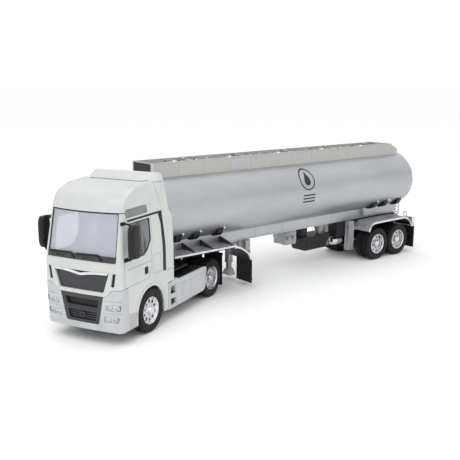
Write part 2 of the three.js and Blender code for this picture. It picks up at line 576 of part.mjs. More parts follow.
// ---------------------------------------------------------------- walkway on top of the tank
const COAMING_Y = [-31, 333];
const tankSpace = ellipsePrism(GAP, -60, 380);
const COAMING_FOOT_Z = COAMING_FLOOR_Z - 15;
const coamingSide = [[COAMING_Y[0], COAMING_FOOT_Z], [COAMING_Y[0], COAMING_TOP_Z],
  [COAMING_Y[1] - 14, COAMING_TOP_Z], [COAMING_Y[1], COAMING_FLOOR_Z + 1], [COAMING_Y[1], COAMING_FOOT_Z]];
let coaming = sideProfile(coamingSide, -COAMING_HALF_W, COAMING_HALF_W);
coaming = cut(
  coaming,
  box([-COAMING_HALF_W + COAMING_WALL, COAMING_HALF_W - COAMING_WALL],
    [COAMING_Y[0] + COAMING_WALL, COAMING_Y[1] - 15], [COAMING_FLOOR_Z, COAMING_TOP_Z + 5]),
  tankSpace,
);
place(trailer, 'spill_coaming', coaming, greyPlastic);

const DECK_HALF_W = COAMING_HALF_W - COAMING_WALL - GAP;
const HATCHES = 5;
const HATCH_R = 10;
const VALVE_R = 3.4;
const VALVE_X = 8;
const hatchFoot = COAMING_FLOOR_Z + 1;
const DECK_Y = [COAMING_Y[0] + COAMING_WALL + GAP, COAMING_Y[1] - 15 - GAP];
const hatchPitch = (DECK_Y[1] - DECK_Y[0]) / HATCHES;
let deck = box([-DECK_HALF_W, DECK_HALF_W], DECK_Y, [COAMING_FLOOR_Z + GAP, COAMING_FLOOR_Z + 2]);
for (let i = 0; i < HATCHES; i += 1) {
  const y = DECK_Y[0] + hatchPitch * (i + 0.5);
  deck = join(
    deck,
    bar('z', HATCH_R, hatchFoot, COAMING_TOP_Z - 2.4, [0, y], 16),
    bar('z', HATCH_R / 2, COAMING_TOP_Z - 3, COAMING_TOP_Z - 1, [0, y], 8),
    box([-13, 13], [y + 15, y + 17], [hatchFoot, COAMING_TOP_Z - 1]),
    box([-3, 3], [y + 21, y + 29], [hatchFoot, COAMING_TOP_Z - 3.4]),
    bar('z', VALVE_R, hatchFoot, COAMING_TOP_Z - 2, [-VALVE_X, y + 24], 8),
    bar('z', VALVE_R, hatchFoot, COAMING_TOP_Z - 2, [VALVE_X, y + 24], 8),
  );
}
place(trailer, 'hatch_deck', deck, chrome);

// ---------------------------------------------------------------- trailer sub-frame
const WEB_Y = [-28, 338];
const WEB_TOP_Z = WEB_BOTTOM_Z + 18.5;   // lies inside the tank, whose room is cut out
const frameBox = box([-WEB_X, WEB_X], WEB_Y, [WEB_BOTTOM_Z, WEB_TOP_Z]);
const frameHollow = box([-WEB_X + WEB_WALL, WEB_X - WEB_WALL],
  [WEB_Y[0] - 1, WEB_Y[1] + 1], [WEB_BOTTOM_Z + WEB_WALL, WEB_TOP_Z + 4]);

const COUPLER_Z = [FIFTH_Z[1] + GAP, WEB_BOTTOM_Z - GAP];
place(trailer, 'kingpin_plate', join(
  box([-22, 22], [-20, 24], COUPLER_Z),
  bar('z', PIN_R, RAIL_Z[1] - 4, COUPLER_Z[0] + 1, [0, 0], 20),
), steel);

// ---------------------------------------------------------------- front platforms and mudflaps
const TREAD_T = 1.5;
const platformOutline = [[-22, 0], [50, 0], [59.7, -3.6], [65.9, -7.7], [70.6, -12.3], [73.4, -17.8],
  [71.8, -17.8], [69.2, -12.9], [64.9, -8.7], [59, -5], [49.6, -TREAD_T], [-22, -TREAD_T]]
  .map(([y, z]) => [y, PLATFORM_Z + z]);
const GUSSET_Y = [1, 23, 48];
const FRONT_FLAP_Y = 71.9;
for (const [label, side] of SIDES) {
  const across = (a, b) => [side * a, side * b];
  let platform = sideProfile(platformOutline, ...across(WEB_X + GAP, SIDE_X));
  for (const y of GUSSET_Y) {
    const gusset = [[WEB_X + GAP, -0.5], [SIDE_X - 1, -0.5], [SIDE_X - 1, 0.5], [WEB_X + GAP, 6.1]]
      .map(([x, z]) => [side * x, PLATFORM_Z + z]);
    platform = join(platform, frontProfile(gusset, y, y + FLAP_T));
  }
  const flap = box(across(15, SIDE_X), [FRONT_FLAP_Y, FRONT_FLAP_Y + FLAP_T], [8.5, PLATFORM_Z - 16.9]);
  place(trailer, `front_platform_${label}`, join(platform, flap), greyPlastic);
}

// Curved saddles under the flank of the tank, three in a row on a rail of the sub-frame.
const SADDLE_FROM = -62;
const SADDLE_TO = -34;
const SADDLE_T = 7;
const SADDLE_Y = [[-10, 11, 41], [275, 296, 322]];
function saddle(side, y) {
  const upper = [];
  const lower = [];
  for (let i = 0; i <= 4; i += 1) {
    const t = THREE.MathUtils.degToRad(SADDLE_FROM + ((SADDLE_TO - SADDLE_FROM) * i) / 4);
    const depth = 0.8 + 2.6 * Math.sin((Math.PI * i) / 4);
    const point = (grow) => [side * (TANK_HALF_W + grow) * Math.cos(t), TANK_Z + (TANK_HALF_H + grow) * Math.sin(t)];
    upper.push(point(GAP));
    lower.unshift(point(GAP + depth));
  }
  return frontProfile([...upper, ...lower], y, y + SADDLE_T);
}
let subframe = cut(frameBox, frameHollow);
for (const rows of SADDLE_Y) {
  for (const [, side] of SIDES) {
    const rail = box([side * (WEB_X - 1), side * 20.5], [rows[0], rows[2] + SADDLE_T],
      [WEB_BOTTOM_Z + 9.7, WEB_TOP_Z]);
    subframe = join(subframe, rail, ...rows.map((y) => saddle(side, y)));
  }
}
subframe = join(
  subframe,
  box([-WEB_X + 1, WEB_X - 1], [334, 337], [WEB_BOTTOM_Z + 1, WEB_BOTTOM_Z + 8.5]),
  bar('y', 1.8, 335, 344, [6, WEB_BOTTOM_Z + 4.5], 12),
  bar('y', 1.8, 335, 344, [-6, WEB_BOTTOM_Z + 4.5], 12),
);
place(trailer, 'subframe', cut(subframe, tankSpace), silver);

// ---------------------------------------------------------------- landing legs
let landingGear = box([-LEG_X, LEG_X], [LEG_Y - 1.2, LEG_Y + 1.2], [27, 30]);
for (const side of [1, -1]) {
  const across = (a, b) => [side * (LEG_X + a), side * (LEG_X + b)];
  landingGear = join(
    landingGear,
    box(across(-3, 3), [LEG_Y - 3, LEG_Y + 3], [18, WEB_BOTTOM_Z - GAP]),
    box(across(-2.2, 2.2), [LEG_Y - 2.2, LEG_Y + 2.2], [8, 19]),
    frontProfile([[-6, 4.4], [6, 4.4], [6, 5.8], [2.4, 11], [-2.4, 11], [-6, 5.8]]
      .map(([x, z]) => [side * LEG_X + x, z]), LEG_Y - 4, LEG_Y + 4),
  );
}
place(trailer, 'landing_gear', landingGear, greyPlastic);

// ---------------------------------------------------------------- running gear of the trailer
const BEAM_X = [9.4, 13];
const BEAM_Y = [256, TANDEM_BACK_Y + 3.15];
let carriage = box([-BEAM_X[1], BEAM_X[1]], BEAM_Y, [WEB_BOTTOM_Z - 2.9, WEB_BOTTOM_Z - GAP]);
for (const side of [1, -1]) {
  const across = BEAM_X.map((x) => side * x);
  carriage = join(carriage, box(across, BEAM_Y, [TYRE_R + 8, WEB_BOTTOM_Z - 2.5]));
  for (const y of TANDEM_Y) carriage = join(carriage, box(across, [y - 5, y + 5], [TYRE_R - 4.4, TYRE_R + 9]));
}
for (const y of TANDEM_Y) carriage = cut(carriage, bar('x', AXLE_R + GAP, -20, 20, [y, TYRE_R], 16));
place(trailer, 'axle_carriage', carriage, blackPlastic);

// Both ends of the fender are drawn from the foremost and rearmost points of the tyres.
const fenderFront = (points) => points.map(([y, z]) => [TANDEM_FRONT_Y + y, FENDER_Z + z]);
const fenderBack = (points) => points.map(([y, z]) => [TANDEM_BACK_Y + y, FENDER_Z + z]);
const fenderOutline = [
  ...fenderFront([[1.1, -10], [4.8, -4.4], [11.7, 0]]),
  ...fenderBack([[-5.85, 0], [0.15, -3.3], [6.85, -11], [5.55, -11.6], [-0.85, -4.6], [-6.25, -1.4]]),
  ...fenderFront([[12.2, -1.4], [6, -5.1], [2.5, -10.4]]),
];
for (const [label, side] of SIDES) {
  const across = (a, b) => [side * a, side * b];
  const inner = BEAM_X[1] + GAP;
  place(trailer, `rear_fender_${label}`, join(
    sideProfile(fenderOutline, ...across(inner, SIDE_X)),
    box(across(inner, 20), [243, 252], [13, WEB_BOTTOM_Z - GAP]),
    box(across(inner, 20), [251, 262], [FENDER_Z - 9.4, FENDER_Z - 6]),
  ), greyPlastic);
}

// Rear cross-beam between the fenders with its two mudflaps, and a lamp cluster each side.
const BUMPER_Y = [TANDEM_BACK_Y + 7.75, TANDEM_BACK_Y + 13.35];
const BUMPER_Z = [32, 36];
let crossbeam = join(
  box([-SIDE_X, SIDE_X], BUMPER_Y, BUMPER_Z),
  box([-12, 12], [BEAM_Y[1] + GAP, BUMPER_Y[1] - 1], [BUMPER_Z[0], BUMPER_Z[1] + 8]),
);
for (const [label, side] of SIDES) {
  crossbeam = join(crossbeam, box([side * 17, side * SIDE_X],
    [BUMPER_Y[1] - FLAP_T, BUMPER_Y[1]], [4.6, BUMPER_Z[0] + 1]));
  place(trailer, `tail_light_${label}`,
    box([side * 24, side * 37], BUMPER_Y, [BUMPER_Z[1] + GAP, BUMPER_Z[1] + 7.5]), lampRed);
}
place(trailer, 'rear_crossbeam', crossbeam, silver);

// ---------------------------------------------------------------- gear slung under the sub-frame
const HUNG_Z = WEB_BOTTOM_Z - GAP;
place(trailer, 'valve_block', box([-9, 9], [148, 165], [31, HUNG_Z]), greyPlastic);
place(trailer, 'pump_case', join(
  sideProfile([[171, 35.6], [221, 35.6], [213, 20], [179, 20]], -10, 10),
  box([-6, 6], [176, 186], [35, HUNG_Z]),
  bar('z', 3.5, 35, HUNG_Z, [3.5, 208], 16, 8),
), blackPlastic);
place(trailer, 'tool_box', box([3, 15], [226, 241.5], [30, HUNG_Z]), blackPlastic);
place(trailer, 'air_tank', bar('y', 4.6, 224, 241.5, [8.5, 24.6], 18), silver);

// ---------------------------------------------------------------- origin under the middle of it all
const bounds = new THREE.Box3().setFromObject(assembly);
const middle = bounds.getCenter(new THREE.Vector3());
assembly.position.set(-middle.x, -middle.y, -bounds.min.z);

export default assembly;
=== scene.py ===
"""Toy tank truck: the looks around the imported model.

Lengths are millimetres until a piece is placed. The trailer is drawn from its kingpin, +Y to the rear and
+X to the vehicle's left; the tractor from its own front face, the same way round.
"""
import json
import math

import bmesh
import bpy
from mathutils import Matrix, Vector


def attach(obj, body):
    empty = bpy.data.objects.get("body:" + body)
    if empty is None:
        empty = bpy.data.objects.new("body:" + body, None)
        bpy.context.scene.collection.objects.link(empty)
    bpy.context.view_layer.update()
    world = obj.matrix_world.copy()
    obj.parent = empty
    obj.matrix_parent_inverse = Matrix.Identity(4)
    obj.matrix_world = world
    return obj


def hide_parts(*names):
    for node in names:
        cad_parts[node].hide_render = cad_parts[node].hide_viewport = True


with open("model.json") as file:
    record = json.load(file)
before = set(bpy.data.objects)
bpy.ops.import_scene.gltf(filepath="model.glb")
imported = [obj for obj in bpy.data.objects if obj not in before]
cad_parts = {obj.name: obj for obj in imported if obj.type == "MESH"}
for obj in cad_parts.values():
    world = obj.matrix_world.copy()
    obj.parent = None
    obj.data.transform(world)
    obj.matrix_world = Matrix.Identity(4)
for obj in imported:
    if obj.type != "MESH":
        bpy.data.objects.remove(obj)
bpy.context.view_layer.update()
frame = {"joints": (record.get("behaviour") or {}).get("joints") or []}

MM = 0.001

# ------------------------------------------------------------------ driving sizes, as the solids have them
GAP = 0.35
WHEELBASE = 112.3
TYRE_R = 19.0
AXLE_R = 1.6
SINGLE_W = 10.5
TWIN_W = 21.0
FRONT_TRACK = 37.4
DRIVE_TRACK = 36.2
TRAILER_TRACK = 37.4
KINGPIN_Y = 139.4
CAB_WALL = 1.6
CAB_TOP_Z = 101.3
SCREEN_TOP_Z = 107.4
SCREEN_SILL_Z = 69.0
FLOOR_Z = 44.4
CAB_BACK_Y = 67.8
PANEL_BACK_Y = 82.0
SPOILER_BASE_Z = 126.3
TANK_HALF_W = 37.5
TANK_HALF_H = 34.0
TANK_Z = 90.5
TANK_WALL = 1.5
TANK_FRONT_Y = -29.0
TANK_BACK_Y = 336.0
DISH = 11.5
WEB_X = 12.0
WEB_BOTTOM_Z = 47.5
COAMING_HALF_W = 16.0
COAMING_TOP_Z = 135.0
COAMING_FLOOR_Z = 127.0
COAMING_Y = (-31.0, 333.0)
PLATFORM_Z = 50.5
FENDER_Z = 46.0
SIDE_X = 37.5

# ------------------------------------------------------------------ where the two vehicles stand
JOINTS = {joint["name"]: joint for joint in frame["joints"]}


def joint_point(name):
    return Vector(JOINTS[name]["pos_m"])


KINGPIN = joint_point("fifth_wheel_turn")
ROLL_AXIS = Vector(JOINTS["tractor_front_roll"]["axis"])
TURN = math.atan2(ROLL_AXIS.y, ROLL_AXIS.x)
TRAILER = Matrix.Translation((KINGPIN.x, KINGPIN.y, 0)) @ Matrix.Scale(MM, 4)
TRACTOR = TRAILER @ Matrix.Rotation(TURN, 4, "Z") @ Matrix.Translation((0, -KINGPIN_Y, 0))
SIDES = (("left", 1), ("right", -1))


# ------------------------------------------------------------------ meshes
def new_object(name, vertices, faces):
    mesh = bpy.data.meshes.new(name)
    mesh.from_pydata([tuple(v) for v in vertices], [], faces)
    mesh.update()
    item = bpy.data.objects.new(name, mesh)
    bpy.context.scene.collection.objects.link(item)
    return item


def closed(vertices, faces):
    """A closed body with its faces turned outwards and doubled points merged."""
    item = new_object("body", vertices, faces)
    form = bmesh.new()
    form.from_mesh(item.data)
    bmesh.ops.remove_doubles(form, verts=form.verts, dist=1e-4)
    bmesh.ops.recalc_face_normals(form, faces=form.faces)
    form.to_mesh(item.data)
    form.free()
    return item


def loft(rings, cap=True):
    """A skin through rings of equal length, closed at both ends."""
    count = len(rings[0])
    vertices = [point for ring in rings for point in ring]
    faces = []
    for level in range(len(rings) - 1):
        for i in range(count):
            j = (i + 1) % count
            a, b = level * count + i, level * count + j
            faces.append((a, b, b + count, a + count))
    if cap:
        faces.append(tuple(range(count - 1, -1, -1)))
        faces.append(tuple((len(rings) - 1) * count + i for i in range(count)))
    return closed(vertices, faces)


def side_profile(outline, x0, x1):
    return loft([[(x, y, z) for y, z in outline] for x in (min(x0, x1), max(x0, x1))])


def front_profile(outline, y0, y1):
    return loft([[(x, y, z) for x, z in outline] for y in (min(y0, y1), max(y0, y1))])


def plan_profile(outline, z0, z1):
    return loft([[(x, y, z) for x, y in outline] for z in (min(z0, z1), max(z0, z1))])


def box(xs, ys, zs):
    (x0, x1), (y0, y1), (z0, z1) = xs, ys, zs
    return side_profile(rectangle((y0, y1), (z0, z1)), x0, x1)


AXES = {
    "x": lambda r, t, h: (h, r * math.cos(t), r * math.sin(t)),
    "y": lambda r, t, h: (r * math.cos(t), h, r * math.sin(t)),
    "z": lambda r, t, h: (r * math.cos(t), r * math.sin(t), h),
}


def turned(axis, profile, centre=(0, 0, 0), segments=48, squash=(1, 1, 1)):
    """A profile of (radius, distance) points turned about an axis; it closes on the axis or on itself."""
    place = AXES[axis]
    rings = []
    for step in range(segments):
        angle = 2 * math.pi * step / segments
        ring = []
        for radius, height in profile:
            point = place(radius, angle, height)
            ring.append(tuple(c + p * s for c, p, s in zip(centre, point, squash)))
        rings.append(ring)
    count = len(profile)
    vertices = [point for ring in rings for point in ring]
    faces = []
    on_axis = profile[0][0] == 0 and profile[-1][0] == 0
    for step in range(segments):
        other = (step + 1) % segments
        for i in range(count - 1 if on_axis else count):
            j = (i + 1) % count
            faces.append((step * count + i, step * count + j, other * count + j, other * count + i))
    item = new_object("turned", vertices, faces)
    form = bmesh.new()
    form.from_mesh(item.data)
    bmesh.ops.remove_doubles(form, verts=form.verts, dist=1e-4)
    bmesh.ops.dissolve_degenerate(form, dist=1e-5, edges=form.edges)
    bmesh.ops.recalc_face_normals(form, faces=form.faces)
    form.to_mesh(item.data)
    form.free()
    return item


def rod(axis, radius, start, end, centre, segments=24, end_radius=None, chamfer=0.0):
    """A round bar along an axis with chamfered ends; centre is its two other coordinates."""
    tip = radius if end_radius is None else end_radius
    low, high = (start, end) if start < end else (end, start)
    first, last = (radius, tip) if start < end else (tip, radius)
    profile = [(0, low), (first - chamfer, low)]
    if chamfer:
        profile += [(first, low + chamfer), (last, high - chamfer)]
    profile += [(last - chamfer, high), (0, high)]
    where = {"x": (0, *centre), "y": (centre[0], 0, centre[1]), "z": (*centre, 0)}[axis]
    return turned(axis, profile, where, segments)


def tube_along(points, radius, segments=10, ring=False):
    """A round tube through points, closed at its ends or closed on itself."""
    path = [Vector(p) for p in points]
    rings = []
    side = None
    for i, point in enumerate(path):
        before = path[i - 1] if i or ring else point
        after = path[(i + 1) % len(path)] if i < len(path) - 1 or ring else point
        heading = (after - before).normalized()
        if side is None:
            side = heading.orthogonal().normalized()
        side = (side - heading * side.dot(heading)).normalized()
        up = heading.cross(side)
        rings.append([
            point + radius * (math.cos(a) * side + math.sin(a) * up)
            for a in (2 * math.pi * k / segments for k in range(segments))
        ])
    if ring:
        rings.append(rings[0])
    return loft(rings, cap=not ring)


def evaluated_mesh(item):
    graph = bpy.context.evaluated_depsgraph_get()
    return bpy.data.meshes.new_from_object(item.evaluated_get(graph))


def combine(operation, body, tools):
    """Joins or cuts closed bodies; the tools are used up."""
    for tool in tools:
        modifier = body.modifiers.new(operation, "BOOLEAN")
        modifier.operation = operation
        modifier.object = tool
        modifier.solver = "MANIFOLD"
    old = body.data
    body.data = evaluated_mesh(body)
    body.modifiers.clear()
    bpy.data.meshes.remove(old)
    for tool in tools:
        discard(tool)
    return body


def discard(item):
    mesh = item.data
    bpy.data.objects.remove(item)
    bpy.data.meshes.remove(mesh)


def join(body, *tools):
    return combine("UNION", body, tools)


def cut(body, *tools):
    return combine("DIFFERENCE", body, tools)


def common(body, *tools):
    return combine("INTERSECT", body, tools)


def inset(outline, distance):
    """Moves each edge of a convex outline inwards; a negative distance moves it out."""
    centre = [sum(p[k] for p in outline) / len(outline) for k in (0, 1)]
    lines = []
    for (x, y), (u, v) in zip(outline, outline[1:] + outline[:1]):
        length = math.hypot(u - x, v - y)
        nx, ny = -(v - y) / length, (u - x) / length
        if nx * (centre[0] - x) + ny * (centre[1] - y) < 0:
            nx, ny = -nx, -ny
        lines.append((nx, ny, nx * x + ny * y + distance))
    result = []
    for (a1, b1, c1), (a2, b2, c2) in zip(lines[-1:] + lines[:-1], lines):
        det = a1 * b2 - a2 * b1
        result.append(((c1 * b2 - c2 * b1) / det, (a1 * c2 - a2 * c1) / det))
    return result


def rounded(outline, radius, steps=5):
    """A convex outline with its corners rounded off."""
    result = []
    for before, point, after in zip(outline[-1:] + outline[:-1], outline, outline[1:] + outline[:1]):
        corner = Vector(point)
        arm_in = Vector(before) - corner
        arm_out = Vector(after) - corner
        reach = min(radius, arm_in.length * 0.45, arm_out.length * 0.45)
        start = corner + arm_in.normalized() * reach
        end = corner + arm_out.normalized() * reach
        for step in range(steps + 1):
            t = step / steps
            curve = start * (1 - t) ** 2 + corner * 2 * t * (1 - t) + end * t ** 2
            result.append((curve.x, curve.y))
    return result


def rectangle(across, up):
    """The four corners of an upright rectangle."""
    return [(across[0], up[0]), (across[1], up[0]), (across[1], up[1]), (across[0], up[1])]


def mirror_x(outline):
    return [(-a, b) for a, b in outline]


def smooth_line(points, steps=4):
    """A smooth run through points, with steps between each pair."""
    padded = [points[0], *points, points[-1]]
    result = []
    for p0, p1, p2, p3 in zip(padded, padded[1:], padded[2:], padded[3:]):
        for step in range(steps):
            t = step / steps
            result.append(tuple(
                0.5 * (2 * b + (c - a) * t + (2 * a - 5 * b + 4 * c - d) * t ** 2
                       + (3 * b - a - 3 * c + d) * t ** 3)
                for a, b, c, d in zip(p0, p1, p2, p3)
            ))
    result.append(tuple(points[-1]))
    return result


def piece(name, item, space, body, material, replaces=(), slot=None, bevel=0.0, angle=32, levels=2):
    """Places a finished body in the frame, shades it, rounds its edges and hangs it on its CAD body."""
    item.name = name
    item.data.name = name
    item.data.transform(space)
    form = bmesh.new()
    form.from_mesh(item.data)
    bmesh.ops.remove_doubles(form, verts=form.verts, dist=0.01 * MM)
    bmesh.ops.dissolve_degenerate(form, dist=0.005 * MM, edges=form.edges)
    if bevel:
        bmesh.ops.dissolve_limit(form, angle_limit=math.radians(0.5), verts=form.verts, edges=form.edges)
    form.to_mesh(item.data)
    form.free()
    for polygon in item.data.polygons:
        polygon.use_smooth = True
    item.data.set_sharp_from_angle(angle=math.radians(angle))
    if bevel:
        rounding = item.modifiers.new("rounding", "BEVEL")
        rounding.width = bevel * MM
        rounding.segments = levels
        rounding.limit_method = "ANGLE"
        rounding.angle_limit = math.radians(angle + 6)
        rounding.use_clamp_overlap = True
        rounding.miter_outer = "MITER_ARC"
    weighting = item.modifiers.new("weighting", "WEIGHTED_NORMAL")
    weighting.keep_sharp = True
    item.data.materials.clear()
    item.data.materials.append(material)
    slot = slot or USUAL_SLOT.get(material.name)
    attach(item, body)
    if replaces:
        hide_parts(*([replaces] if isinstance(replaces, str) else replaces))
    return item


def tractor_piece(name, item, material, *more, **settings):
    return piece(name, item, TRACTOR, "tractor", material, *more, **settings)


def trailer_piece(name, item, material, *more, **settings):
    return piece(name, item, TRAILER, "trailer", material, *more, **settings)


# ------------------------------------------------------------------ finishes
def linear(code):
    """The linear colour of an sRGB hex value."""
    channels = [int(code[i:i + 2], 16) / 255 for i in (1, 3, 5)]
    return (*[c / 12.92 if c <= 0.04045 else ((c + 0.055) / 1.055) ** 2.4 for c in channels], 1.0)


def add_node(tree, kind, inputs=None, **settings):
    """Adds a node with its settings; an input is a value or another node's output to link."""
    node = tree.nodes.new(kind)
    for key, value in settings.items():
        setattr(node, key, value)
    for key, value in (inputs or {}).items():
        if isinstance(value, bpy.types.NodeSocket):
            tree.links.new(value, node.inputs[key])
        else:
            node.inputs[key].default_value = value
    return node


def cells_per_metre(spacing_mm):
    return 1.0 / (spacing_mm * MM)


def finish(name, dark, light, gloss, lump_mm, grain_mm, depth_mm, metallic=0.0, stretch=(1, 1, 1),
           spread=(0.3, 0.7), **sockets):
    """A surface whose colour and gloss drift over lumps, with a finer grain standing in its relief."""
    material = bpy.data.materials.new(name)
    material.use_nodes = True
    tree = material.node_tree
    tree.nodes.clear()
    place = add_node(tree, "ShaderNodeTexCoord").outputs["Object"]
    laid = add_node(tree, "ShaderNodeMapping", {"Vector": place, "Scale": stretch}).outputs["Vector"]
    lumps = add_node(tree, "ShaderNodeTexNoise", {
        "Vector": laid, "Scale": cells_per_metre(lump_mm), "Detail": 4.0, "Roughness": 0.58}).outputs["Fac"]
    tint = add_node(tree, "ShaderNodeValToRGB", {"Fac": lumps})
    for stop, position, code in zip(tint.color_ramp.elements, spread, (dark, light)):
        stop.position = position
        stop.color = linear(code)
    shine = add_node(tree, "ShaderNodeMapRange", {
        "Value": lumps, "From Min": 0.3, "From Max": 0.7, "To Min": gloss[0], "To Max": gloss[1]})
    grain = add_node(tree, "ShaderNodeTexNoise", {
        "Vector": laid, "Scale": cells_per_metre(grain_mm), "Detail": 2.0, "Roughness": 0.6})
    relief = add_node(tree, "ShaderNodeBump", {
        "Height": grain.outputs["Fac"], "Distance": depth_mm * MM, "Strength": 0.45})
    surface = add_node(tree, "ShaderNodeBsdfPrincipled", {
        "Base Color": tint.outputs["Color"], "Roughness": shine.outputs["Result"],
        "Normal": relief.outputs["Normal"], "Metallic": metallic, **sockets})
    add_node(tree, "ShaderNodeOutputMaterial", {"Surface": surface.outputs["BSDF"]})
    return material


def ribbed(material, spacing_mm, depth_mm):
    """Straight ribs across X in place of the grain."""
    nodes = material.node_tree.nodes
    ribs = add_node(material.node_tree, "ShaderNodeTexWave", {
        "Vector": nodes["Texture Coordinate"].outputs["Object"],
        "Scale": cells_per_metre(spacing_mm) / (2 * math.pi), "Distortion": 0.2})
    material.node_tree.links.new(ribs.outputs["Fac"], nodes["Bump"].inputs["Height"])
    nodes["Bump"].inputs["Distance"].default_value = depth_mm * MM
    return material


def woven(material, spacing_mm, depth_mm):
    """Two sets of crossed wires in relief; the same pattern darkens the colour, as painted shade meant for
    the gaps between them.
    """
    tree = material.node_tree
    weave_and_gap_shade = None
    for turn in (45, -45):
        laid = add_node(tree, "ShaderNodeMapping", {
            "Vector": tree.nodes["Texture Coordinate"].outputs["Object"],
            "Rotation": (0, math.radians(turn), 0)})
        wires = add_node(tree, "ShaderNodeTexWave", {
            "Vector": laid.outputs["Vector"], "Scale": cells_per_metre(spacing_mm) / (2 * math.pi)})
        if weave_and_gap_shade is None:
            weave_and_gap_shade = wires.outputs["Fac"]
        else:
            weave_and_gap_shade = add_node(tree, "ShaderNodeMath", {0: weave_and_gap_shade, 1: wires.outputs["Fac"]},
                                operation="MULTIPLY").outputs["Value"]
    # The weave drives the colour as well as the relief: painted shade.
    tree.links.new(weave_and_gap_shade, tree.nodes["Color Ramp"].inputs["Fac"])
    tree.links.new(weave_and_gap_shade, tree.nodes["Bump"].inputs["Height"])
    tree.nodes["Bump"].inputs["Distance"].default_value = depth_mm * MM
    return material


# Stove enamel sprayed on die-cast zinc: a warm white gloss with faint orange peel under a clear coat.
ENAMEL = finish("cab_enamel", "#BFC2C0", "#C8CAC6", (0.30, 0.40), 18, 1.6, 0.05,
                **{"Coat Weight": 0.4, "Coat Roughness": 0.12})
# Injection-moulded ABS in a cooler white: softer gloss than the enamel, with fine flow marks.
WHITE_ABS = finish("moulded_white_abs", "#B4B8BB", "#BFC1C3", (0.38, 0.47), 10, 0.9, 0.03,
                   stretch=(1, 1, 0.35))
# Black ABS from a spark-eroded mould: a fine leathery grain that breaks up the highlight.
BLACK = finish("black_abs", "#08090A", "#131315", (0.38, 0.54), 3.0, 0.7, 0.06,
               **{"Specular IOR Level": 0.36})
# Charcoal ABS: a dark grey moulding with a matt fine texture and paler rubbed spots.
CHARCOAL = finish("charcoal_abs", "#2B2C2F", "#3C3D41", (0.46, 0.60), 2.4, 0.6, 0.06)
# Soft PVC tyre: matt black, with a dusty bloom in patches and a slight sheen on the sidewall.
TYRE = finish("tyre_rubber", "#0A0A0B", "#1B1B1C", (0.58, 0.80), 3.5, 0.5, 0.05, spread=(0.35, 0.85),
              **{"Sheen Weight": 0.04, "Sheen Roughness": 0.5, "Specular IOR Level": 0.34})
# Mudflap sheet: thin black rubber with shallow upright ribs and a satin face.
FLAP = ribbed(finish("flap_rubber", "#090A0B", "#17181A", (0.5, 0.68), 5.0, 1.0, 0.08,
                     **{"Specular IOR Level": 0.34}), 1.1, 0.08)
# Vacuum-plated plastic: a bright mirror with the faint ripple and haze of the moulding under the plating.
CHROME = finish("vacuum_chrome", "#CDCDD1", "#E6E6E8", (0.10, 0.24), 3.0, 2.2, 0.03, 1.0)
# Bright silver wheel plating: a metal film softer than chrome, with fine brush marks.
WHEEL = finish("wheel_silver", "#CDCED2", "#E6E6E8", (0.22, 0.34), 0.9, 0.9, 0.02, 0.85)
# Satin silver paint: metal flake in clear lacquer, with slow lengthwise waves from the moulding.
# Flake of 0.05 mm is too fine to show, so it is drawn as coarse as 0.35 mm.
TANK = finish("tank_silver", "#A9ABAF", "#B8BABC", (0.32, 0.42), 24, 0.35, 0.012, 0.8, (1, 0.3, 1),
              **{"Coat Weight": 0.2, "Coat Roughness": 0.25})
# Warm grey metallic plastic of the walkway walls: low gloss, with fine pearl in the plastic.
COAMING = finish("coaming_grey", "#AEAEAB", "#B3B3AF", (0.42, 0.50), 14, 0.8, 0.012, 0.2)
# Grey ABS with metal flake in the plastic: a dull silver with swirled flow lines.
GREY = finish("grey_metallic_abs", "#8E9094", "#AFB1B4", (0.38, 0.52), 7, 0.6, 0.04, 0.35, (1, 0.5, 1))
# Bright silver strip laid on the outer edge of a grey plate: a painted highlight where the bent edge catches
# the light.
EDGE_HIGHLIGHT = finish("edge_painted_highlight", "#C6C8CB", "#E4E5E6", (0.24, 0.38), 2.0, 1.0, 0.03, 0.45, (1, 0.2, 1))
# Drawn steel wire and plate: clean metal with fine marks along its length.
STEEL = finish("drawn_steel", "#8F9195", "#B2B4B8", (0.24, 0.42), 0.5, 0.5, 0.02, 1.0, (0.08, 1, 1))
# Clear polystyrene pane: thin, with a cool tint and faint moulding ripples in its gloss.
CLEAR = finish("clear_polystyrene", "#C9CBD6", "#D6D8E0", (0.05, 0.09), 22, 22, 0.03,
               **{"IOR": 1.59, "Alpha": 0.5})
# Near side pane: the same clear plastic as the far pane, coloured dark as painted shade, with pale upright
# streaks as painted reflections.
NEAR_PANE_SHADE_STREAKS = finish("near_pane_painted_shade_streaks", "#232427", "#77797E", (0.07, 0.2), 4.5, 4.5, 0.2,
                stretch=(1, 1, 0.12), spread=(0.42, 0.64), **{"IOR": 1.59, "Alpha": 0.86})
# The far side pane is the same clear plastic, thin enough to let the daylight through.
FAR_PANE = finish("clear_side_polystyrene", "#C9CBD4", "#DADBE2", (0.05, 0.12), 14, 9, 0.05,
                  **{"IOR": 1.59, "Alpha": 0.25})
# Grey printed film behind the upper side window: flat mid grey under clear plastic.
UPPER_PANE = finish("upper_pane_film", "#6C6E72", "#7E8084", (0.16, 0.26), 12, 6, 0.02, **{"IOR": 1.59})
# Clear lamp lens with prism ribs moulded on its back, over a plated reflector.
LENS = ribbed(finish("lamp_lens", "#DDE1E8", "#F0F2F5", (0.05, 0.10), 2.0, 1.3, 0.1,
                     **{"IOR": 1.59, "Alpha": 0.1}), 1.3, 0.05)
# Milky white lamp cap: glossy and bright, with a pearly cloud inside the plastic.
PEARL = finish("pearl_lens", "#DFE1E4", "#F4F5F5", (0.10, 0.20), 1.0, 1.0, 0.01, **{"Coat Weight": 0.6})
# Transparent red lens, deep in colour, with fine prisms.
RED = ribbed(finish("red_lens", "#7A0E10", "#B21A1B", (0.10, 0.20), 1.2, 0.9, 0.1,
                    **{"IOR": 1.49, "Coat Weight": 0.5}), 0.9, 0.12)
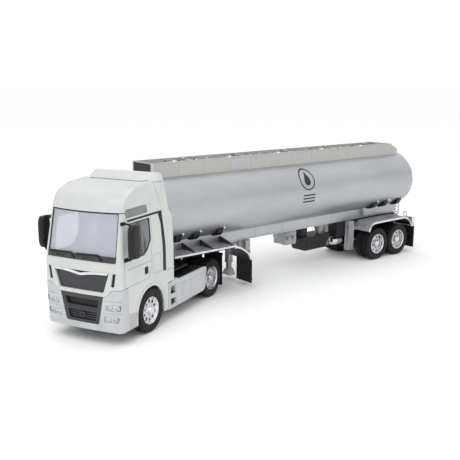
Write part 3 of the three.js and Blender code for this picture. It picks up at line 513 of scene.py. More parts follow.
# Seats and dashboard in lilac-grey ABS: matt, with a cloth-like moulded grain.
INTERIOR = finish("interior_abs", "#C6C8D3", "#DDDFE6", (0.52, 0.70), 1.6, 1.0, 0.10)
# Black pad-printing ink: a thin flat film with slightly uneven cover.
INK = finish("print_ink", "#141416", "#262629", (0.48, 0.62), 1.5, 1.5, 0.01)
# Charcoal grille with a woven-wire pattern pressed into it; the colour darkens with the weave as painted
# shade in its gaps.
MESH = woven(finish("grille_mesh_abs", "#3C3D41", "#0F1011", (0.42, 0.54), 2.0, 0.6, 0.05,
                    spread=(0.2, 0.7)),
             0.8, 0.2)

# The slot of each finish, unless a piece names another.
USUAL_SLOT = {
    BLACK.name: "black_plastic",
    CHARCOAL.name: "charcoal_plastic",
    MESH.name: "charcoal_plastic",
    CHROME.name: "chrome",
    COAMING.name: "grey_plastic",
    GREY.name: "grey_plastic",
    INTERIOR.name: "grey_plastic",
    ENAMEL.name: "cab_paint",
    WHITE_ABS.name: "bumper_plastic",
    FLAP.name: "flap_rubber",
    LENS.name: "lamp_clear",
    PEARL.name: "lamp_clear",
    RED.name: "lamp_red",
    EDGE_HIGHLIGHT.name: "silver_plastic",
    TANK.name: "silver_plastic",
    STEEL.name: "steel",
    CLEAR.name: "clear_plastic",
    UPPER_PANE.name: "clear_plastic",
}


# ------------------------------------------------------------------ wheels
AXLE_BORE_R = 1.95
HUB_DEPTH = 4.0
HUB_LINING = 3.65
TREAD_CELLS = 48


def tyre(width, twin):
    """One moulding: ringed sidewalls, a rounded shoulder and a tread cut into blocks."""
    side = [(11.75, -0.6), (12.5, -0.12), (13.5, -0.02), (13.75, -0.35), (14.05, -0.35), (14.3, 0.0),
            (16.0, 0.0), (16.25, -0.3), (16.6, -0.3), (16.85, -0.02), (17.5, -0.12), (18.3, -0.55)]
    back = [(r, -width - x) for r, x in reversed(side)]
    grooves = [(0, -width)] if not twin else [(0, -width / 2 + 0.9), (-width / 2 - 0.9, -width)]
    tread = []
    for start, end in grooves:
        inner_start = start - (1.9 if start == 0 else 0.5)
        inner_end = end + (1.9 if end == -width else 0.5)
        span = inner_start - inner_end
        count = 3
        for rib in range(count + 1):
            first = inner_start - span * rib / (count + 1)
            last = inner_start - span * (rib + 1) / (count + 1)
            tread.append((TYRE_R, first))
            tread.append((TYRE_R, last + 0.45))
            if rib < count:
                tread.append((TYRE_R - 0.7, last + 0.35))
                tread.append((TYRE_R - 0.7, last - 0.05))
        if twin and start == 0:
            middle = -width / 2
            tread += [(TYRE_R - 0.6, middle + 1.0), (TYRE_R - 3, middle + 0.5),
                      (TYRE_R - 3, middle - 0.5), (TYRE_R - 0.6, middle - 1.0)]
    edge = [(18.8, -1.15)]
    far_edge = [(18.8, -width + 1.15)]
    profile = side + edge + tread + far_edge + back
    rings = []
    steps = TREAD_CELLS * 3
    for step in range(steps):
        angle = 2 * math.pi * step / steps
        lowered = 0.55 if step % 3 == 0 else 0.0
        ring = []
        for radius, x in profile:
            r = radius - lowered if radius > 18.2 and abs(x + width / 2) > (0 if twin else 1.2) else radius
            ring.append((x, r * math.cos(angle), r * math.sin(angle)))
        rings.append(ring)
    rings.append(rings[0])
    return loft(rings, cap=False)


def hexagon(radius, x0, x1, y, z):
    outline = [(y + radius * math.cos(math.pi * k / 3), z + radius * math.sin(math.pi * k / 3))
               for k in range(6)]
    return side_profile(outline, x0, x1)


def around(count, radius, offset=0.0):
    for k in range(count):
        angle = 2 * math.pi * (k + offset) / count
        yield radius * math.cos(angle), radius * math.sin(angle)


def rim(width, dish, hub):
    """A wheel centre with hand holes, nuts and a raised hub; the rod's end sits in its blind bore."""
    flat = dish + 1.8
    profile = [
        (0, hub), (1.9, hub), (2.3, hub - 0.25), (2.5, hub - 0.25), (3.2, hub - 0.5), (3.5, hub - 0.95),
        (3.75, (hub - dish) * 0.5), (4.2, -dish + 0.5), (4.7, -dish + 0.1), (5.2, -dish), (9.4, -dish),
        (9.9, -dish + 0.25), (10.25, -dish + 0.9), (10.5, -1.3), (10.75, -0.75), (11.1, -0.45),
        (11.5, -0.4), (11.75, -0.6), (11.8, -1.0), (11.8, -width + 0.8), (10.9, -width + 0.8),
        (10.5, -width + 1.6), (10.2, -flat - 0.4), (9.6, -flat), (5.0, -flat), (4.2, -HUB_DEPTH - 5),
        (AXLE_BORE_R, -HUB_DEPTH - 5), (AXLE_BORE_R, -HUB_LINING), (0, -HUB_LINING)]
    body = turned("x", profile, segments=96)
    front = dish < 4
    reach = 8.05 if front else 8.2
    holes = []
    for y, z in around(10, reach, 0.5):
        holes.append(rod("x", 1.55 if front else 1.1, -dish - 3, 1, (y, z), 24))
    cut(body, *holes)
    nuts = [hexagon(0.52, -dish - 0.3, -dish + 0.75, y, z) for y, z in around(10, 6.1)]
    caps = [rod("x", 0.3, -dish + 0.6, -dish + 1.0, at, 10) for at in around(10, 6.1)]
    bolts = [rod("x", 0.24, hub - 0.9, hub + 0.02, at, 8) for at in around(8, 2.85)]
    return join(body, *nuts, *caps, *bolts)


def mirrored(item):
    item.data.transform(Matrix.Scale(-1, 4, (1, 0, 0)))
    item.data.flip_normals()
    return item


def wheel_set(prefix, body, space, y, track, width, dish, hub, wheel_finish):
    centre = space @ Matrix.Translation((0, y, TYRE_R))
    reach = track - HUB_DEPTH
    axle = rod("x", AXLE_R, -reach, reach, (0, 0), 32, chamfer=0.25)
    piece(f"{prefix}_axle", axle, centre, body, STEEL, f"{prefix}_axle_rod")
    for label, side in SIDES:
        there = centre @ Matrix.Translation((side * track, 0, 0))
        for part, item, look, slot in (
            ("tyre", tyre(width, width > 15), TYRE, "tyre_rubber"),
            ("rim", rim(width, dish, hub), wheel_finish, "chrome"),
            ("drum", turned("x", rectangle((5.2, 9.5), (-dish - 1.9, -dish - 2.6)), segments=48), BLACK,
             "black_plastic"),
        ):
            if side < 0:
                mirrored(item)
            stands_for = () if part == "drum" else f"{prefix}_{part}_{label}"
            name = f"{prefix}_{part}_{label}_wheel" if part != "drum" else f"{prefix}_brake_drum_{label}"
            piece(name, item, there, body, look, stands_for, slot, angle=28)


FRONT_AXLE_Y = 45.3
REAR_AXLE_Y = FRONT_AXLE_Y + WHEELBASE
TANDEM_Y = (276.2, 315.85)
wheel_set("tractor_front", "tractor_front_axle", TRACTOR, FRONT_AXLE_Y, FRONT_TRACK, SINGLE_W, 2.4, 1.2,
          WHEEL)
wheel_set("tractor_rear", "tractor_rear_axle", TRACTOR, REAR_AXLE_Y, DRIVE_TRACK, TWIN_W, 6.5, -0.8, CHROME)
wheel_set("trailer_front", "trailer_front_axle", TRAILER, TANDEM_Y[0], TRAILER_TRACK, TWIN_W, 6.5, -0.8,
          CHROME)
wheel_set("trailer_rear", "trailer_rear_axle", TRAILER, TANDEM_Y[1], TRAILER_TRACK, TWIN_W, 6.5, -0.8,
          CHROME)


# ------------------------------------------------------------------ the cab's outer form
# Height, front face, how far the face curves back at the corners, and half width.
CAB_SECTIONS = [
    (12, 0.6, 2.0, 37.1), (36, 0, 1.8, 37.5), (60, 0, 1.8, 37.5), (69, 0.3, 2.0, 37.4),
    (88, 2.8, 3.6, 36.6), (107, 5.4, 5.3, 35.5), (114, 6.8, 6.4, 35.1), (119, 9, 8, 34.9),
    (122, 13, 9, 34.6), (126, 24, 10, 34.1), (131, 40, 10, 33.5)]
CORNER_R = 4.0
LOFT_BACK_Y = 92.0
FAR = 60.0


def fine_sections():
    """The sections joined by a smooth line, never outside them by more than a hair."""
    sections = []
    padded = [CAB_SECTIONS[0], *CAB_SECTIONS, CAB_SECTIONS[-1]]
    for p0, p1, p2, p3 in zip(padded, padded[1:], padded[2:], padded[3:]):
        steps = 3 if p1[0] < 107 else 4
        for step in range(steps):
            t = step / steps
            z = p1[0] + (p2[0] - p1[0]) * t
            row = [z]
            for k in (1, 2, 3):
                before = (p2[k] - p0[k]) / max(p2[0] - p0[0], 1) * (p2[0] - p1[0])
                after = (p3[k] - p1[k]) / max(p3[0] - p1[0], 1) * (p2[0] - p1[0])
                a, b = p1[k], p2[k]
                curve = ((2 * t ** 3 - 3 * t ** 2 + 1) * a + (t ** 3 - 2 * t ** 2 + t) * before
                         + (-2 * t ** 3 + 3 * t ** 2) * b + (t ** 3 - t ** 2) * after)
                row.append(curve)
            sections.append(tuple(row))
    sections.append(CAB_SECTIONS[-1])
    return sections


def cab_ring(section, depth):
    z, front, bow, half_width = section
    w = half_width - depth
    flat = w - CORNER_R
    y0 = front + depth
    corner_y = y0 + bow * (flat / w) ** 2
    half = []
    for i in range(1, 11):
        x = flat * i / 10
        half.append((x, y0 + bow * (x / w) ** 2))
    for i in range(1, 9):
        t = i / 8 * math.pi / 2
        half.append((flat + CORNER_R * math.sin(t), corner_y + CORNER_R * (1 - math.cos(t))))
    for y in (30, 50, 70):
        half.append((w, y))
    half.append((w, LOFT_BACK_Y - depth))
    mirror = [(-x, y) for x, y in reversed(half)]
    return [(x, y, z) for x, y in [(0, y0), *half, *mirror]]


def cab_form(depth=0.0):
    return loft([cab_ring(section, depth) for section in fine_sections()])


def cab_skin(outer, inner):
    return cut(cab_form(outer), cab_form(inner))


def through(outline, side):
    return side_profile(outline, side * 5, side * FAR)


def front_skin(outline, outer, inner, reach=9):
    """The stretch of the cab's skin, between two depths, that lies behind an outline on the front."""
    return common(cab_skin(outer, inner), front_profile(outline, -9, reach))


def side_skin(outline, side, outer, inner):
    """The stretch of the cab's skin, between two depths, that lies behind an outline on one flank."""
    return common(cab_skin(outer, inner), through(outline, side))


def groove_on_side(outline, side, width=0.55, depth=0.4):
    """A shallow engraved line round an outline on one flank."""
    line = cut(through(outline, side), through(inset(outline, width), side))
    return common(line, cab_skin(-1.0, depth))


SCREEN = [(-33.4, SCREEN_SILL_Z), (33.4, SCREEN_SILL_Z), (32.2, SCREEN_TOP_Z + 3),
          (-32.2, SCREEN_TOP_Z + 3)]
SIDE_WINDOW = [(13, 71.5), (16, 69), (36, 69), (42, 73), (47, 80), (46.6, 98.6), (16.6, 98.6)]
UPPER_WINDOW = [(12, 103), (44.5, 103), (43.5, 110), (13.6, 110)]
GRILLE = [(-27, 60.5), (27, 60.5), (21.6, 44.4), (-21.6, 44.4)]
LOWER_GRILLE = [(-22, 45), (22, 45), (16.1, 17.2), (-16.1, 17.2)]
VENT = [(33.2, 61.2), (30.4, 60.6), (28.6, 50), (31.6, 49.9)]
HIGH_LAMP = [(22.8, 29.6), (36.2, 30.4), (36.6, 35.6), (23.4, 34.8)]
LOW_LAMP = [(20.8, 19.8), (34.8, 20.6), (35.4, 25.6), (21.6, 25)]
ARCH = [(25.4, 8), (25.4, 22), (28, 29.5), (33.5, 36.3), (41, 39.6), (50, 39.8), (57.5, 36), (63, 29),
        (65.2, 22), (68, 8)]
BUMPER_TOP = [(50, 49), (29.2, 47.1), (23.2, 41.2), (-23.2, 41.2), (-29.2, 47.1), (-50, 49)]
BUMPER_WRAP_Y = 11.0


def arch_outline(grow):
    """The wheel arch as a smooth curve, grown outwards from the cut edge."""
    middle = (45.5, 14)
    curve = smooth_line(ARCH[1:-1], 5)
    grown = []
    for y, z in curve:
        away = Vector((y - middle[0], z - middle[1]))
        away.normalize()
        grown.append((y + away.x * grow, z + away.y * grow))
    return [(grown[0][0], 4), *grown, (grown[-1][0] + 1.5, 4)]


def roof_seam(rise):
    return [(-9, SCREEN_TOP_Z + rise), (12.8, SCREEN_TOP_Z + rise), (14.5, CAB_TOP_Z + rise)]


# ------------------------------------------------------------------ cab walls
def cab_walls():
    """Front, flanks, floor edge and rear wall of the cab in one casting, with its panel lines engraved."""
    outline = [(-9, 5), *roof_seam(-GAP), (62, CAB_TOP_Z - GAP), (65.6, 90.5), (CAB_BACK_Y, 71),
               (CAB_BACK_Y, 48), (PANEL_BACK_Y, 48), (PANEL_BACK_Y, 36.5), (72.6, 36.5), (72.6, 5)]
    hollow = [(-9, 5), (-9, 120), (62 - CAB_WALL, 120), (62 - CAB_WALL, CAB_TOP_Z),
              (65.6 - CAB_WALL, 90.3), (CAB_BACK_Y - CAB_WALL, 71), (CAB_BACK_Y - CAB_WALL, FLOOR_Z),
              (99, FLOOR_Z), (99, 5)]
    body = common(cab_form(), side_profile(outline, -FAR, FAR))
    cut(body, common(cab_form(CAB_WALL), side_profile(hollow, -FAR, FAR)))
    cut(body, front_profile([*BUMPER_TOP, (-50, 5), (50, 5)], -9, BUMPER_WRAP_Y + GAP))
    cut(body, side_profile(arch_outline(0.2), -FAR, FAR))
    cut(body, front_profile(rounded(SCREEN, 2.2), -9, 20), front_profile(rounded(GRILLE, 1.4), -9, 6),
        front_profile(rounded(VENT, 0.6), -9, 8), front_profile(rounded(mirror_x(VENT), 0.6), -9, 8))
    door = rounded([(7.4, 69.5), (7.4, 47.8), (43.4, 47.8), (45.6, 56), (46.4, 68), (48.8, 79),
                    (48.4, 100.6), (16, 100.6)], 2.0)
    locker = rounded([(47.6, 50), (61.4, 50), (60.6, 66.6), (48.6, 66.6)], 1.6)
    for _, side in SIDES:
        cut(body, through(rounded(SIDE_WINDOW, 1.6), side))
        cut(body, groove_on_side(door, side))
        cut(body, groove_on_side(locker, side, 0.45, 0.3))
        cut(body, groove_on_side(rectangle((12, 45), (62, 62.5)), side, 0.2, 0.2))
        lip = cut(through(arch_outline(3.4), side), through(arch_outline(2.9), side))
        cut(body, common(lip, cab_skin(-1, 0.3)))
        latch_seat = through(rounded(rectangle((36.0, 41.6), (52.4, 58.8)), 0.8), side)
        cut(body, common(latch_seat, cab_skin(-1, 0.6)))
    return body


tractor_piece("cab_walls", cab_walls(), ENAMEL, "cab_shell", bevel=0.16)

for label, side in SIDES:
    seat = through(rounded(rectangle((36.4, 41.2), (52.8, 58.4)), 0.7), side)
    grip = through(rounded(rectangle((37.2, 38.9), (53.6, 57.6)), 0.5), side)
    handle = common(seat, cab_skin(0.1, 1.2))
    join(handle, common(grip, cab_skin(-0.5, 1.0)))
    tractor_piece(f"door_handle_{label}", handle, BLACK, bevel=0.12)


# ------------------------------------------------------------------ roof, spoiler and side deflectors
def roof_line(rise):
    return [(9, 119.5 + rise), (14, 122 + rise), (23, 124.2 + rise), (43, 126.3 + rise),
            (54.5, 127.3 + rise)]


def high_roof():
    """High roof with the two side deflectors in one moulding."""
    outline = [*reversed(roof_seam(GAP)), (-9, 119.5), *smooth_line(roof_line(0), 5), (60.4, 115),
               (66, CAB_TOP_Z + GAP)]
    hollow = [(-9, 90), (-9, 119.5 - CAB_WALL), *roof_line(-CAB_WALL)[:4],
              (54.5 - CAB_WALL, 127.3 - CAB_WALL), (60.4 - CAB_WALL, 115), (66 - CAB_WALL, 90)]
    deflector = [(69.4, 48 + GAP), (69.4, 71), (67.2, 91), (66, CAB_TOP_Z + GAP), (60.4, 115),
                 (55.4, 125.4), (56.4, SPOILER_BASE_Z - GAP), (72.4, SPOILER_BASE_Z - GAP), (77.4, 100),
                 (PANEL_BACK_Y, 94.7), (PANEL_BACK_Y, 48 + GAP)]
    body = common(cab_form(), side_profile(outline, -FAR, FAR))
    cut(body, common(cab_form(CAB_WALL), side_profile(hollow, -FAR, FAR)))
    for _, side in SIDES:
        cut(body, through(rounded(UPPER_WINDOW, 0.9), side))
        join(body, side_skin(deflector, side, 0, CAB_WALL))
        edge = [(60.9, 115.2), (66.6, 101.8), (67.1, 101.8), (61.5, 115.2), (55.9, 125.9), (55.3, 125.9)]
        cut(body, side_skin(edge, side, -1, 0.35))
    return body


tractor_piece("high_roof", high_roof(), ENAMEL, "cab_roof", bevel=0.16)


def roof_spoiler():
    """Crowned air spoiler whose nose follows the roof, with a swept hollow on top."""
    levels = []
    for i in range(9):
        t = i / 8
        z = SPOILER_BASE_Z + 6.1 * t
        ease = t ** 1.25
        outline = [(-27 + ease, 50 + 9 * ease), (27 - ease, 50 + 9 * ease),
                   (34.6 - 2.2 * ease, 62 + 4 * ease), (35.4 - 2.4 * ease, 72.4 - 0.8 * ease),
                   (-35.4 + 2.4 * ease, 72.4 - 0.8 * ease), (-34.6 + 2.2 * ease, 62 + 4 * ease)]
        levels.append([(x, y, z) for x, y in rounded(outline, 3.4, 5)])
    body = loft(levels)
    under = side_profile([(-9, 90), (-9, 119.5 + GAP), *smooth_line(roof_line(GAP), 5), (55.4, 127.3 + GAP),
                          (56.2, 90)], -FAR, FAR)
    cut(body, under)
    hollow = turned("x", [(0, -24), (2.4, -23), (3.6, 0), (2.4, 23), (0, 24)], (0, 76.4, 133.4), 40)
    return cut(body, hollow)


tractor_piece("air_spoiler", roof_spoiler(), ENAMEL, "roof_spoiler", bevel=0.3, levels=3)


# Black rubber fills the joint behind the doors, laps the cab's rear edge, and lines the seam under the roof.
REAR_JOINT = [(62.1, 101.2), (65.7, 90.5), (67.9, 71), (67.9, 48.4), (69.3, 48.4), (69.3, 71), (67.1, 91),
              (65.9, 101.2)]
REAR_LAP = [(59.4, 100.9), (62.9, 90.5), (64.4, 71), (64.4, 49.0), (67.8, 49.0), (67.8, 71), (65.6, 90.5),
            (62, 100.9)]
ROOF_LAP = [(15.3, 100.95), (15.5, 99.9), (60.6, 99.9), (60.2, 100.95)]
ROOF_JOINT = [(14.2, 100.9), (62, 100.9), (65.6, 101.7), (14.9, 101.7), (13.3, 107.8), (12.3, 107.1)]
for label, side in SIDES:
    rubber = side_skin(REAR_JOINT, side, 0.25, 1.5)
    join(rubber, side_skin(REAR_LAP, side, -0.1, 0.1))
    join(rubber, side_skin(ROOF_JOINT, side, 0.2, 1.55))
    join(rubber, side_skin(ROOF_LAP, side, -0.1, 0.1))
    tractor_piece(f"cab_joint_rubber_{label}", rubber, BLACK)


# ------------------------------------------------------------------ windows
screen_pane = front_skin(rounded(inset(SCREEN, 0.25), 2.0), 0.75, 1.5, 16)
tractor_piece("windscreen", screen_pane, CLEAR, "cab_glazing")
gasket = cut(front_profile(rounded(inset(SCREEN, 0.02), 2.2), -9, 16),
             front_profile(rounded(inset(SCREEN, 0.75), 1.7), -10, 17))
seam_hider = front_profile(rectangle((-40, 40), (60, SCREEN_TOP_Z + 0.2)), -9, 20)
tractor_piece("windscreen_seal", common(gasket, cab_skin(0.25, 1.55), seam_hider), BLACK, bevel=0.08)
top_seal = front_profile(rectangle((-32.6, 32.6), (SCREEN_TOP_Z - 0.75, SCREEN_TOP_Z + 0.3)), -9, 15)
tractor_piece("windscreen_top_seal", common(top_seal, cab_skin(0.3, 1.55)), BLACK, bevel=0.08)

for label, side in SIDES:
    window = rounded(SIDE_WINDOW, 1.6)
    inner_window = rounded(inset(SIDE_WINDOW, 0.7), 1.2)
    # The near pane is coloured with painted shade and painted reflection streaks; the far pane is plain
    # clear plastic.
    tractor_piece(f"door_pane_{label}", side_skin(inner_window, side, 0.55, 1.2),
                  NEAR_PANE_SHADE_STREAKS if side > 0 else FAR_PANE, slot="clear_plastic")
    seal = cut(through(rounded(inset(SIDE_WINDOW, 0.02), 1.6), side), through(inner_window, side))
    tractor_piece(f"door_pane_seal_{label}", common(seal, cab_skin(0.15, 1.5)), BLACK, bevel=0.08)
    tractor_piece(f"upper_pane_{label}", side_skin(rounded(inset(UPPER_WINDOW, 0.05), 0.9), side, 0.3, 1.5),
                  UPPER_PANE, bevel=0.08)


# ------------------------------------------------------------------ wipers and cowl
SILL_TOP_Z = 73.6


def wiper_cowl():
    """Cowl band under the screen with two air slots and a stepped upper lip."""
    sill = [(-33, SCREEN_SILL_Z + GAP), (33, SCREEN_SILL_Z + GAP), (32.8, SILL_TOP_Z), (-32.8, SILL_TOP_Z)]
    body = front_skin(sill, -0.6, 1.6, 8)
    lip = rectangle((-32.8, 32.8), (SILL_TOP_Z - 0.6, SILL_TOP_Z + 0.1))
    join(body, front_skin(lip, -0.85, 1.6, 8))
    for x in (-24, 2.5):
        slot = rounded(rectangle((x, x + 9.5), (70.6, 71.9)), 0.6)
        cut(body, common(front_profile(slot, -9, 8), cab_skin(-2, 0.1)))
    return body


def wiper(x):
    """One wiper: a blade in its holder along the sill and an arm that curves down to a boss."""
    blade = rounded([(x, SILL_TOP_Z - 0.7), (x + 21, SILL_TOP_Z - 0.1), (x + 20.4, SILL_TOP_Z + 1.3),
                     (x, SILL_TOP_Z + 0.7)], 0.5)
    body = front_skin(blade, -1.15, 0.2, 8)
    arm = [(x + 19.4, SILL_TOP_Z + 0.5), (x + 21.4, SILL_TOP_Z - 0.6), (x + 23.2, SILL_TOP_Z - 2.4),
           (x + 24.4, SILL_TOP_Z - 4.0), (x + 25.6, SILL_TOP_Z - 4.0), (x + 24.6, SILL_TOP_Z - 1.8),
           (x + 22.4, SILL_TOP_Z + 0.4), (x + 20.4, SILL_TOP_Z + 1.4)]
    join(body, front_skin(arm, -1.15, 0.2, 8))
    return body


tractor_piece("cowl_band", wiper_cowl(), CHARCOAL, "wiper_cowl", bevel=0.14)
for label, x in (("left", -4), ("right", -30)):
    tractor_piece(f"wiper_{label}", wiper(x), BLACK, bevel=0.12)


# ------------------------------------------------------------------ grilles, bumper and lamps
def upper_grille():
    """Grille plate with five thin slats under a plain upper field."""
    body = front_skin([(-31, 49.5), (-31, 61.5), (31, 61.5), (31, 49.5), (21, 44.2), (-21, 44.2)], 1.0,
                      2.85, 8)
    cut(body, front_skin(rounded(inset(GRILLE, -0.3), 1.4), -1, 1.6, 8))
    for level in range(5):
        z = 46.3 + 1.75 * level
        half = 21.6 + (z - 44.4) * 0.335 - 0.5
        slat = [(-half, z), (half, z), (half + 0.25, z + 0.75), (-half - 0.25, z + 0.75)]
        join(body, front_skin(slat, 1.4, 2.6, 8))
    return body


def corner_vents():
    bodies = []
    for outline in (VENT, mirror_x(VENT)):
        body = front_skin(rounded(inset(outline, 0.1), 0.5), 0.7, 2.6, 8)
        for level in range(4):
            z = 52 + 2.3 * level
            line = front_profile(rectangle((-40, 40), (z, z + 0.7)), -9, 8)
            cut(body, common(line, cab_skin(-1, 1.3)))
        bodies.append(body)
    return bodies


tractor_piece("grille_plate", upper_grille(), MESH, "upper_grille", bevel=0.08)
for label, body in zip(("left", "right"), corner_vents()):
    tractor_piece(f"corner_vent_{label}", body, BLACK, bevel=0.08)

STRIP_TOP = smooth_line([(-26.6, 61.0), (-19, 60.9), (-12, 60.6), (-6, 59.9), (0, 59.0), (6, 59.9),
                         (12, 60.6), (19, 60.9), (26.6, 61.0)], 3)
STRIP_UNDER = smooth_line([(25.4, 59.0), (18.5, 58.9), (12, 58.4), (6, 57.6), (0, 56.6), (-6, 57.6),
                           (-12, 58.4), (-18.5, 58.9), (-25.4, 59.0)], 3)
strip = front_skin([*STRIP_TOP, *STRIP_UNDER], -0.5, 0.95, 6)
tractor_piece("grille_chrome_strip", strip, CHROME, "grille_strip", bevel=0.3, levels=3)


def bumper():
    """Bumper shell with openings for grille and lamps, lamp hoods, side line and inset panels."""
    top = [(x, z - GAP) for x, z in BUMPER_TOP]
    body = front_skin([*top, (-50, 5), (50, 5)], 0, 1.8, BUMPER_WRAP_Y)
    join(body, front_skin(rectangle((-50, 50), (14.2, 15.6)), -0.25, 1.0, 9.5))
    cut(body, front_profile(rounded(LOWER_GRILLE, 1.6), -9, 8))
    for outline in (HIGH_LAMP, LOW_LAMP):
        for lamp in (outline, mirror_x(outline)):
            cut(body, front_profile(rounded(lamp, 1.1), -9, 9))
    for side in (1, -1):
        seam = rectangle((16.8, 24.8), (45.5, 44.9))
        cut(body, common(front_profile([(side * x, z) for x, z in seam], -9, 8), cab_skin(-1, 0.3)))
        brow = [(side * x, z) for x, z in [(22.2, 37.4), (37, 38.3), (37, 38.8), (22, 37.9)]]
        cut(body, common(front_profile(brow, -9, 9), cab_skin(-1, 0.3)))
        low_brow = [(side * x, z) for x, z in [(19.6, 27.3), (36.6, 28.2), (36.6, 28.7), (19.4, 27.8)]]
        cut(body, common(front_profile(low_brow, -9, 9), cab_skin(-1, 0.3)))
    return body


tractor_piece("bumper_shell", bumper(), WHITE_ABS, "front_bumper", bevel=0.22, levels=3)

for label, side in SIDES:
    skirt = side_skin(rounded([(12.4, 26), (24.4, 24), (23.2, 12.6),
                                                          (13.2, 12.6)], 1.2), side, -0.22, 0.6)
    tractor_piece(f"skirt_inset_{label}", skirt, COAMING, bevel=0.14)

RECESSES = ([(-16.6, 37.4), (16.6, 37.4), (15.2, 31), (-15.2, 31)],
            [(-14.4, 27), (14.4, 27), (13, 19.6), (-13, 19.6)])


def lower_grille():
    """Lower grille: two recesses, a ribbed cross bar between them and a round tow socket."""
    outline = inset([*LOWER_GRILLE[2:], (-20.9, 40.8), (20.9, 40.8)], 0.1)
    body = front_skin(outline, 0.4, 4.2)
    for recess in RECESSES:
        cut(body, common(front_profile(rounded(recess, 0.9), -9, 9), cab_skin(-2, 2.8)))
    for k in range(-6, 7):
        x = k * 2.15
        join(body, front_skin(rectangle((x - 0.4, x + 0.4), (27.9, 30.2)), 0.1, 1.0))
    for level in range(3):
        z = 20.9 + 2.0 * level
        join(body, front_skin(rectangle((-13.6, 13.6), (z, z + 0.7)), 1.7, 3.4))
    socket = turned("y", [(1.3, 1.0), (2.3, 1.0), (2.5, 1.3), (2.5, 4.4), (1.3, 4.4)], (0, 0, 23.4), 32)
    return join(body, socket)


tractor_piece("lower_grille_plate", lower_grille(), CHARCOAL, "lower_grille", "black_plastic", bevel=0.12)
mesh_plate = front_skin(inset(RECESSES[0], -0.2), 2.7, 3.1)
tractor_piece("lower_grille_mesh", mesh_plate, BLACK, slot="charcoal_plastic")


def lamp_bowls(outline, mirror):
    """A back plate with two round holes, and the two plated bowls that sit in them."""
    facing = mirror_x(outline) if mirror else outline
    plate = front_skin(inset(facing, -0.8), 1.9, 2.9)
    x0, x1 = facing[0][0], facing[1][0]
    middle_z = (facing[0][1] + facing[2][1]) / 2
    bowls = []
    for share, radius in ((0.26, 2.3), (0.7, 2.6)):
        x = x0 + (x1 - x0) * share
        y = 1.8 + 2.0 * (x / 37) ** 2
        at = (x, 0, middle_z + (0.25 if share > 0.5 else -0.1))
        cut(plate, turned("y", rectangle((0, radius), (y - 4, y + 3)), at, 36))
        bowls.append(turned("y", [(0, y + 0.2), (0.5, y + 0.2), (0.7, y + 1.6), (radius * 0.6, y + 1.3),
                                  (radius * 0.9, y + 0.3), (radius, y - 0.4), (radius + 0.35, y - 0.4),
                                  (radius + 0.4, y + 1.9), (0, y + 2.0)], at, 36))
    return plate, join(*bowls)


for label, side in SIDES:
    stands_for = f"headlight_{label}"
    for level, outline in (("high", HIGH_LAMP), ("low", LOW_LAMP)):
        plate, bowls = lamp_bowls(outline, side < 0)
        tractor_piece(f"lamp_reflector_{level}_{label}", bowls, CHROME, stands_for, bevel=0.06)
        tractor_piece(f"lamp_backplate_{level}_{label}", plate, PEARL, slot="chrome", bevel=0.06)
        facing = mirror_x(outline) if side < 0 else outline
        lens = front_skin(rounded(inset(facing, 0.12), 1.0), 0.25, 0.85)
        tractor_piece(f"lamp_lens_{level}_{label}", lens, LENS, bevel=0.12)
        stands_for = ()


# ------------------------------------------------------------------ mirrors
def mirror_case(side):
    """Mirror case with a swept back, rounded all round, on two bent arms."""
    levels = []
    for i in range(11):
        t = i / 10
        z = 73 + 25.5 * t
        pinch = 1.0 - 0.5 * abs(2 * t - 1) ** 6
        outline = [(41, 15.4), (41, 11.4 - 3.4 * pinch), (42.4, 10.4 - 5.0 * pinch),
                   (46, 10.4 - 5.0 * pinch), (47.4, 11.4 - 3.0 * pinch), (47.4, 15.4)]
        levels.append([(side * x, y, z) for x, y in rounded(outline, 1.2, 4)])
    case = loft(levels)
    recess = box((side * 41.5, side * 46.9), (14.9, 16), (73.6, 90.4))
    wide_recess = box((side * 41.5, side * 46.9), (14.9, 16), (91.4, 97.9))
    cut(case, recess, wide_recess)
    arms = [
        tube_along([(side * 33.6, 10, 99.6), (side * 37, 10, 99.8), (side * 41.2, 10, 99.5),
                    (side * 42.6, 10, 98.2), (side * 42.8, 10, 96)], 0.85, 14),
        tube_along([(side * 33.6, 10, 70.6), (side * 37.6, 10, 70.8), (side * 41.6, 10, 71.3),
                    (side * 42.8, 10, 72.6), (side * 43, 10, 75)], 0.95, 14),
        box((side * 34.6, side * 36.2), (7.4, 12.4), (98.3, 100.9)),
        box((side * 36.2, side * 38.4), (7.4, 12.4), (69.4, 72.2)),
    ]
    join(case, *arms)
    return cut(case, cab_form(-0.05))


for label, side in SIDES:
    tractor_piece(f"mirror_case_{label}", mirror_case(side), BLACK, f"mirror_{label}", bevel=0.3, levels=3)
    for part, z0, z1 in (("main", 73.8, 90.2), ("wide", 91.6, 97.7)):
        glass = box((side * 41.7, side * 46.7), (14.7, 15.15), (z0, z1))
        tractor_piece(f"mirror_glass_{part}_{label}", glass, CHROME, bevel=0.12)


# ------------------------------------------------------------------ inside the cab
def floor_and_bunk():
    back = CAB_BACK_Y - CAB_WALL - 0.8
    body = box((-33, 33), (13, back), (FLOOR_Z, FLOOR_Z + 1.6))
    tunnel = [(20, FLOOR_Z + 1), (20, 51), (24, 53), (back, 53), (back, FLOOR_Z + 1)]
    bunk = rounded([(51, FLOOR_Z + 1), (51, 60.2), (52, 61), (back, 61), (back, FLOOR_Z + 1)], 0.8)
    join(body, side_profile(tunnel, -7.4, 7.4), side_profile(bunk, -33, 33))
    cushion = rounded([(51.6, 60.4), (51.6, 64), (53, 65), (back - 0.5, 65), (back - 0.2, 60.4)], 1.6, 6)
    return join(body, side_profile(cushion, -31.5, 31.5))


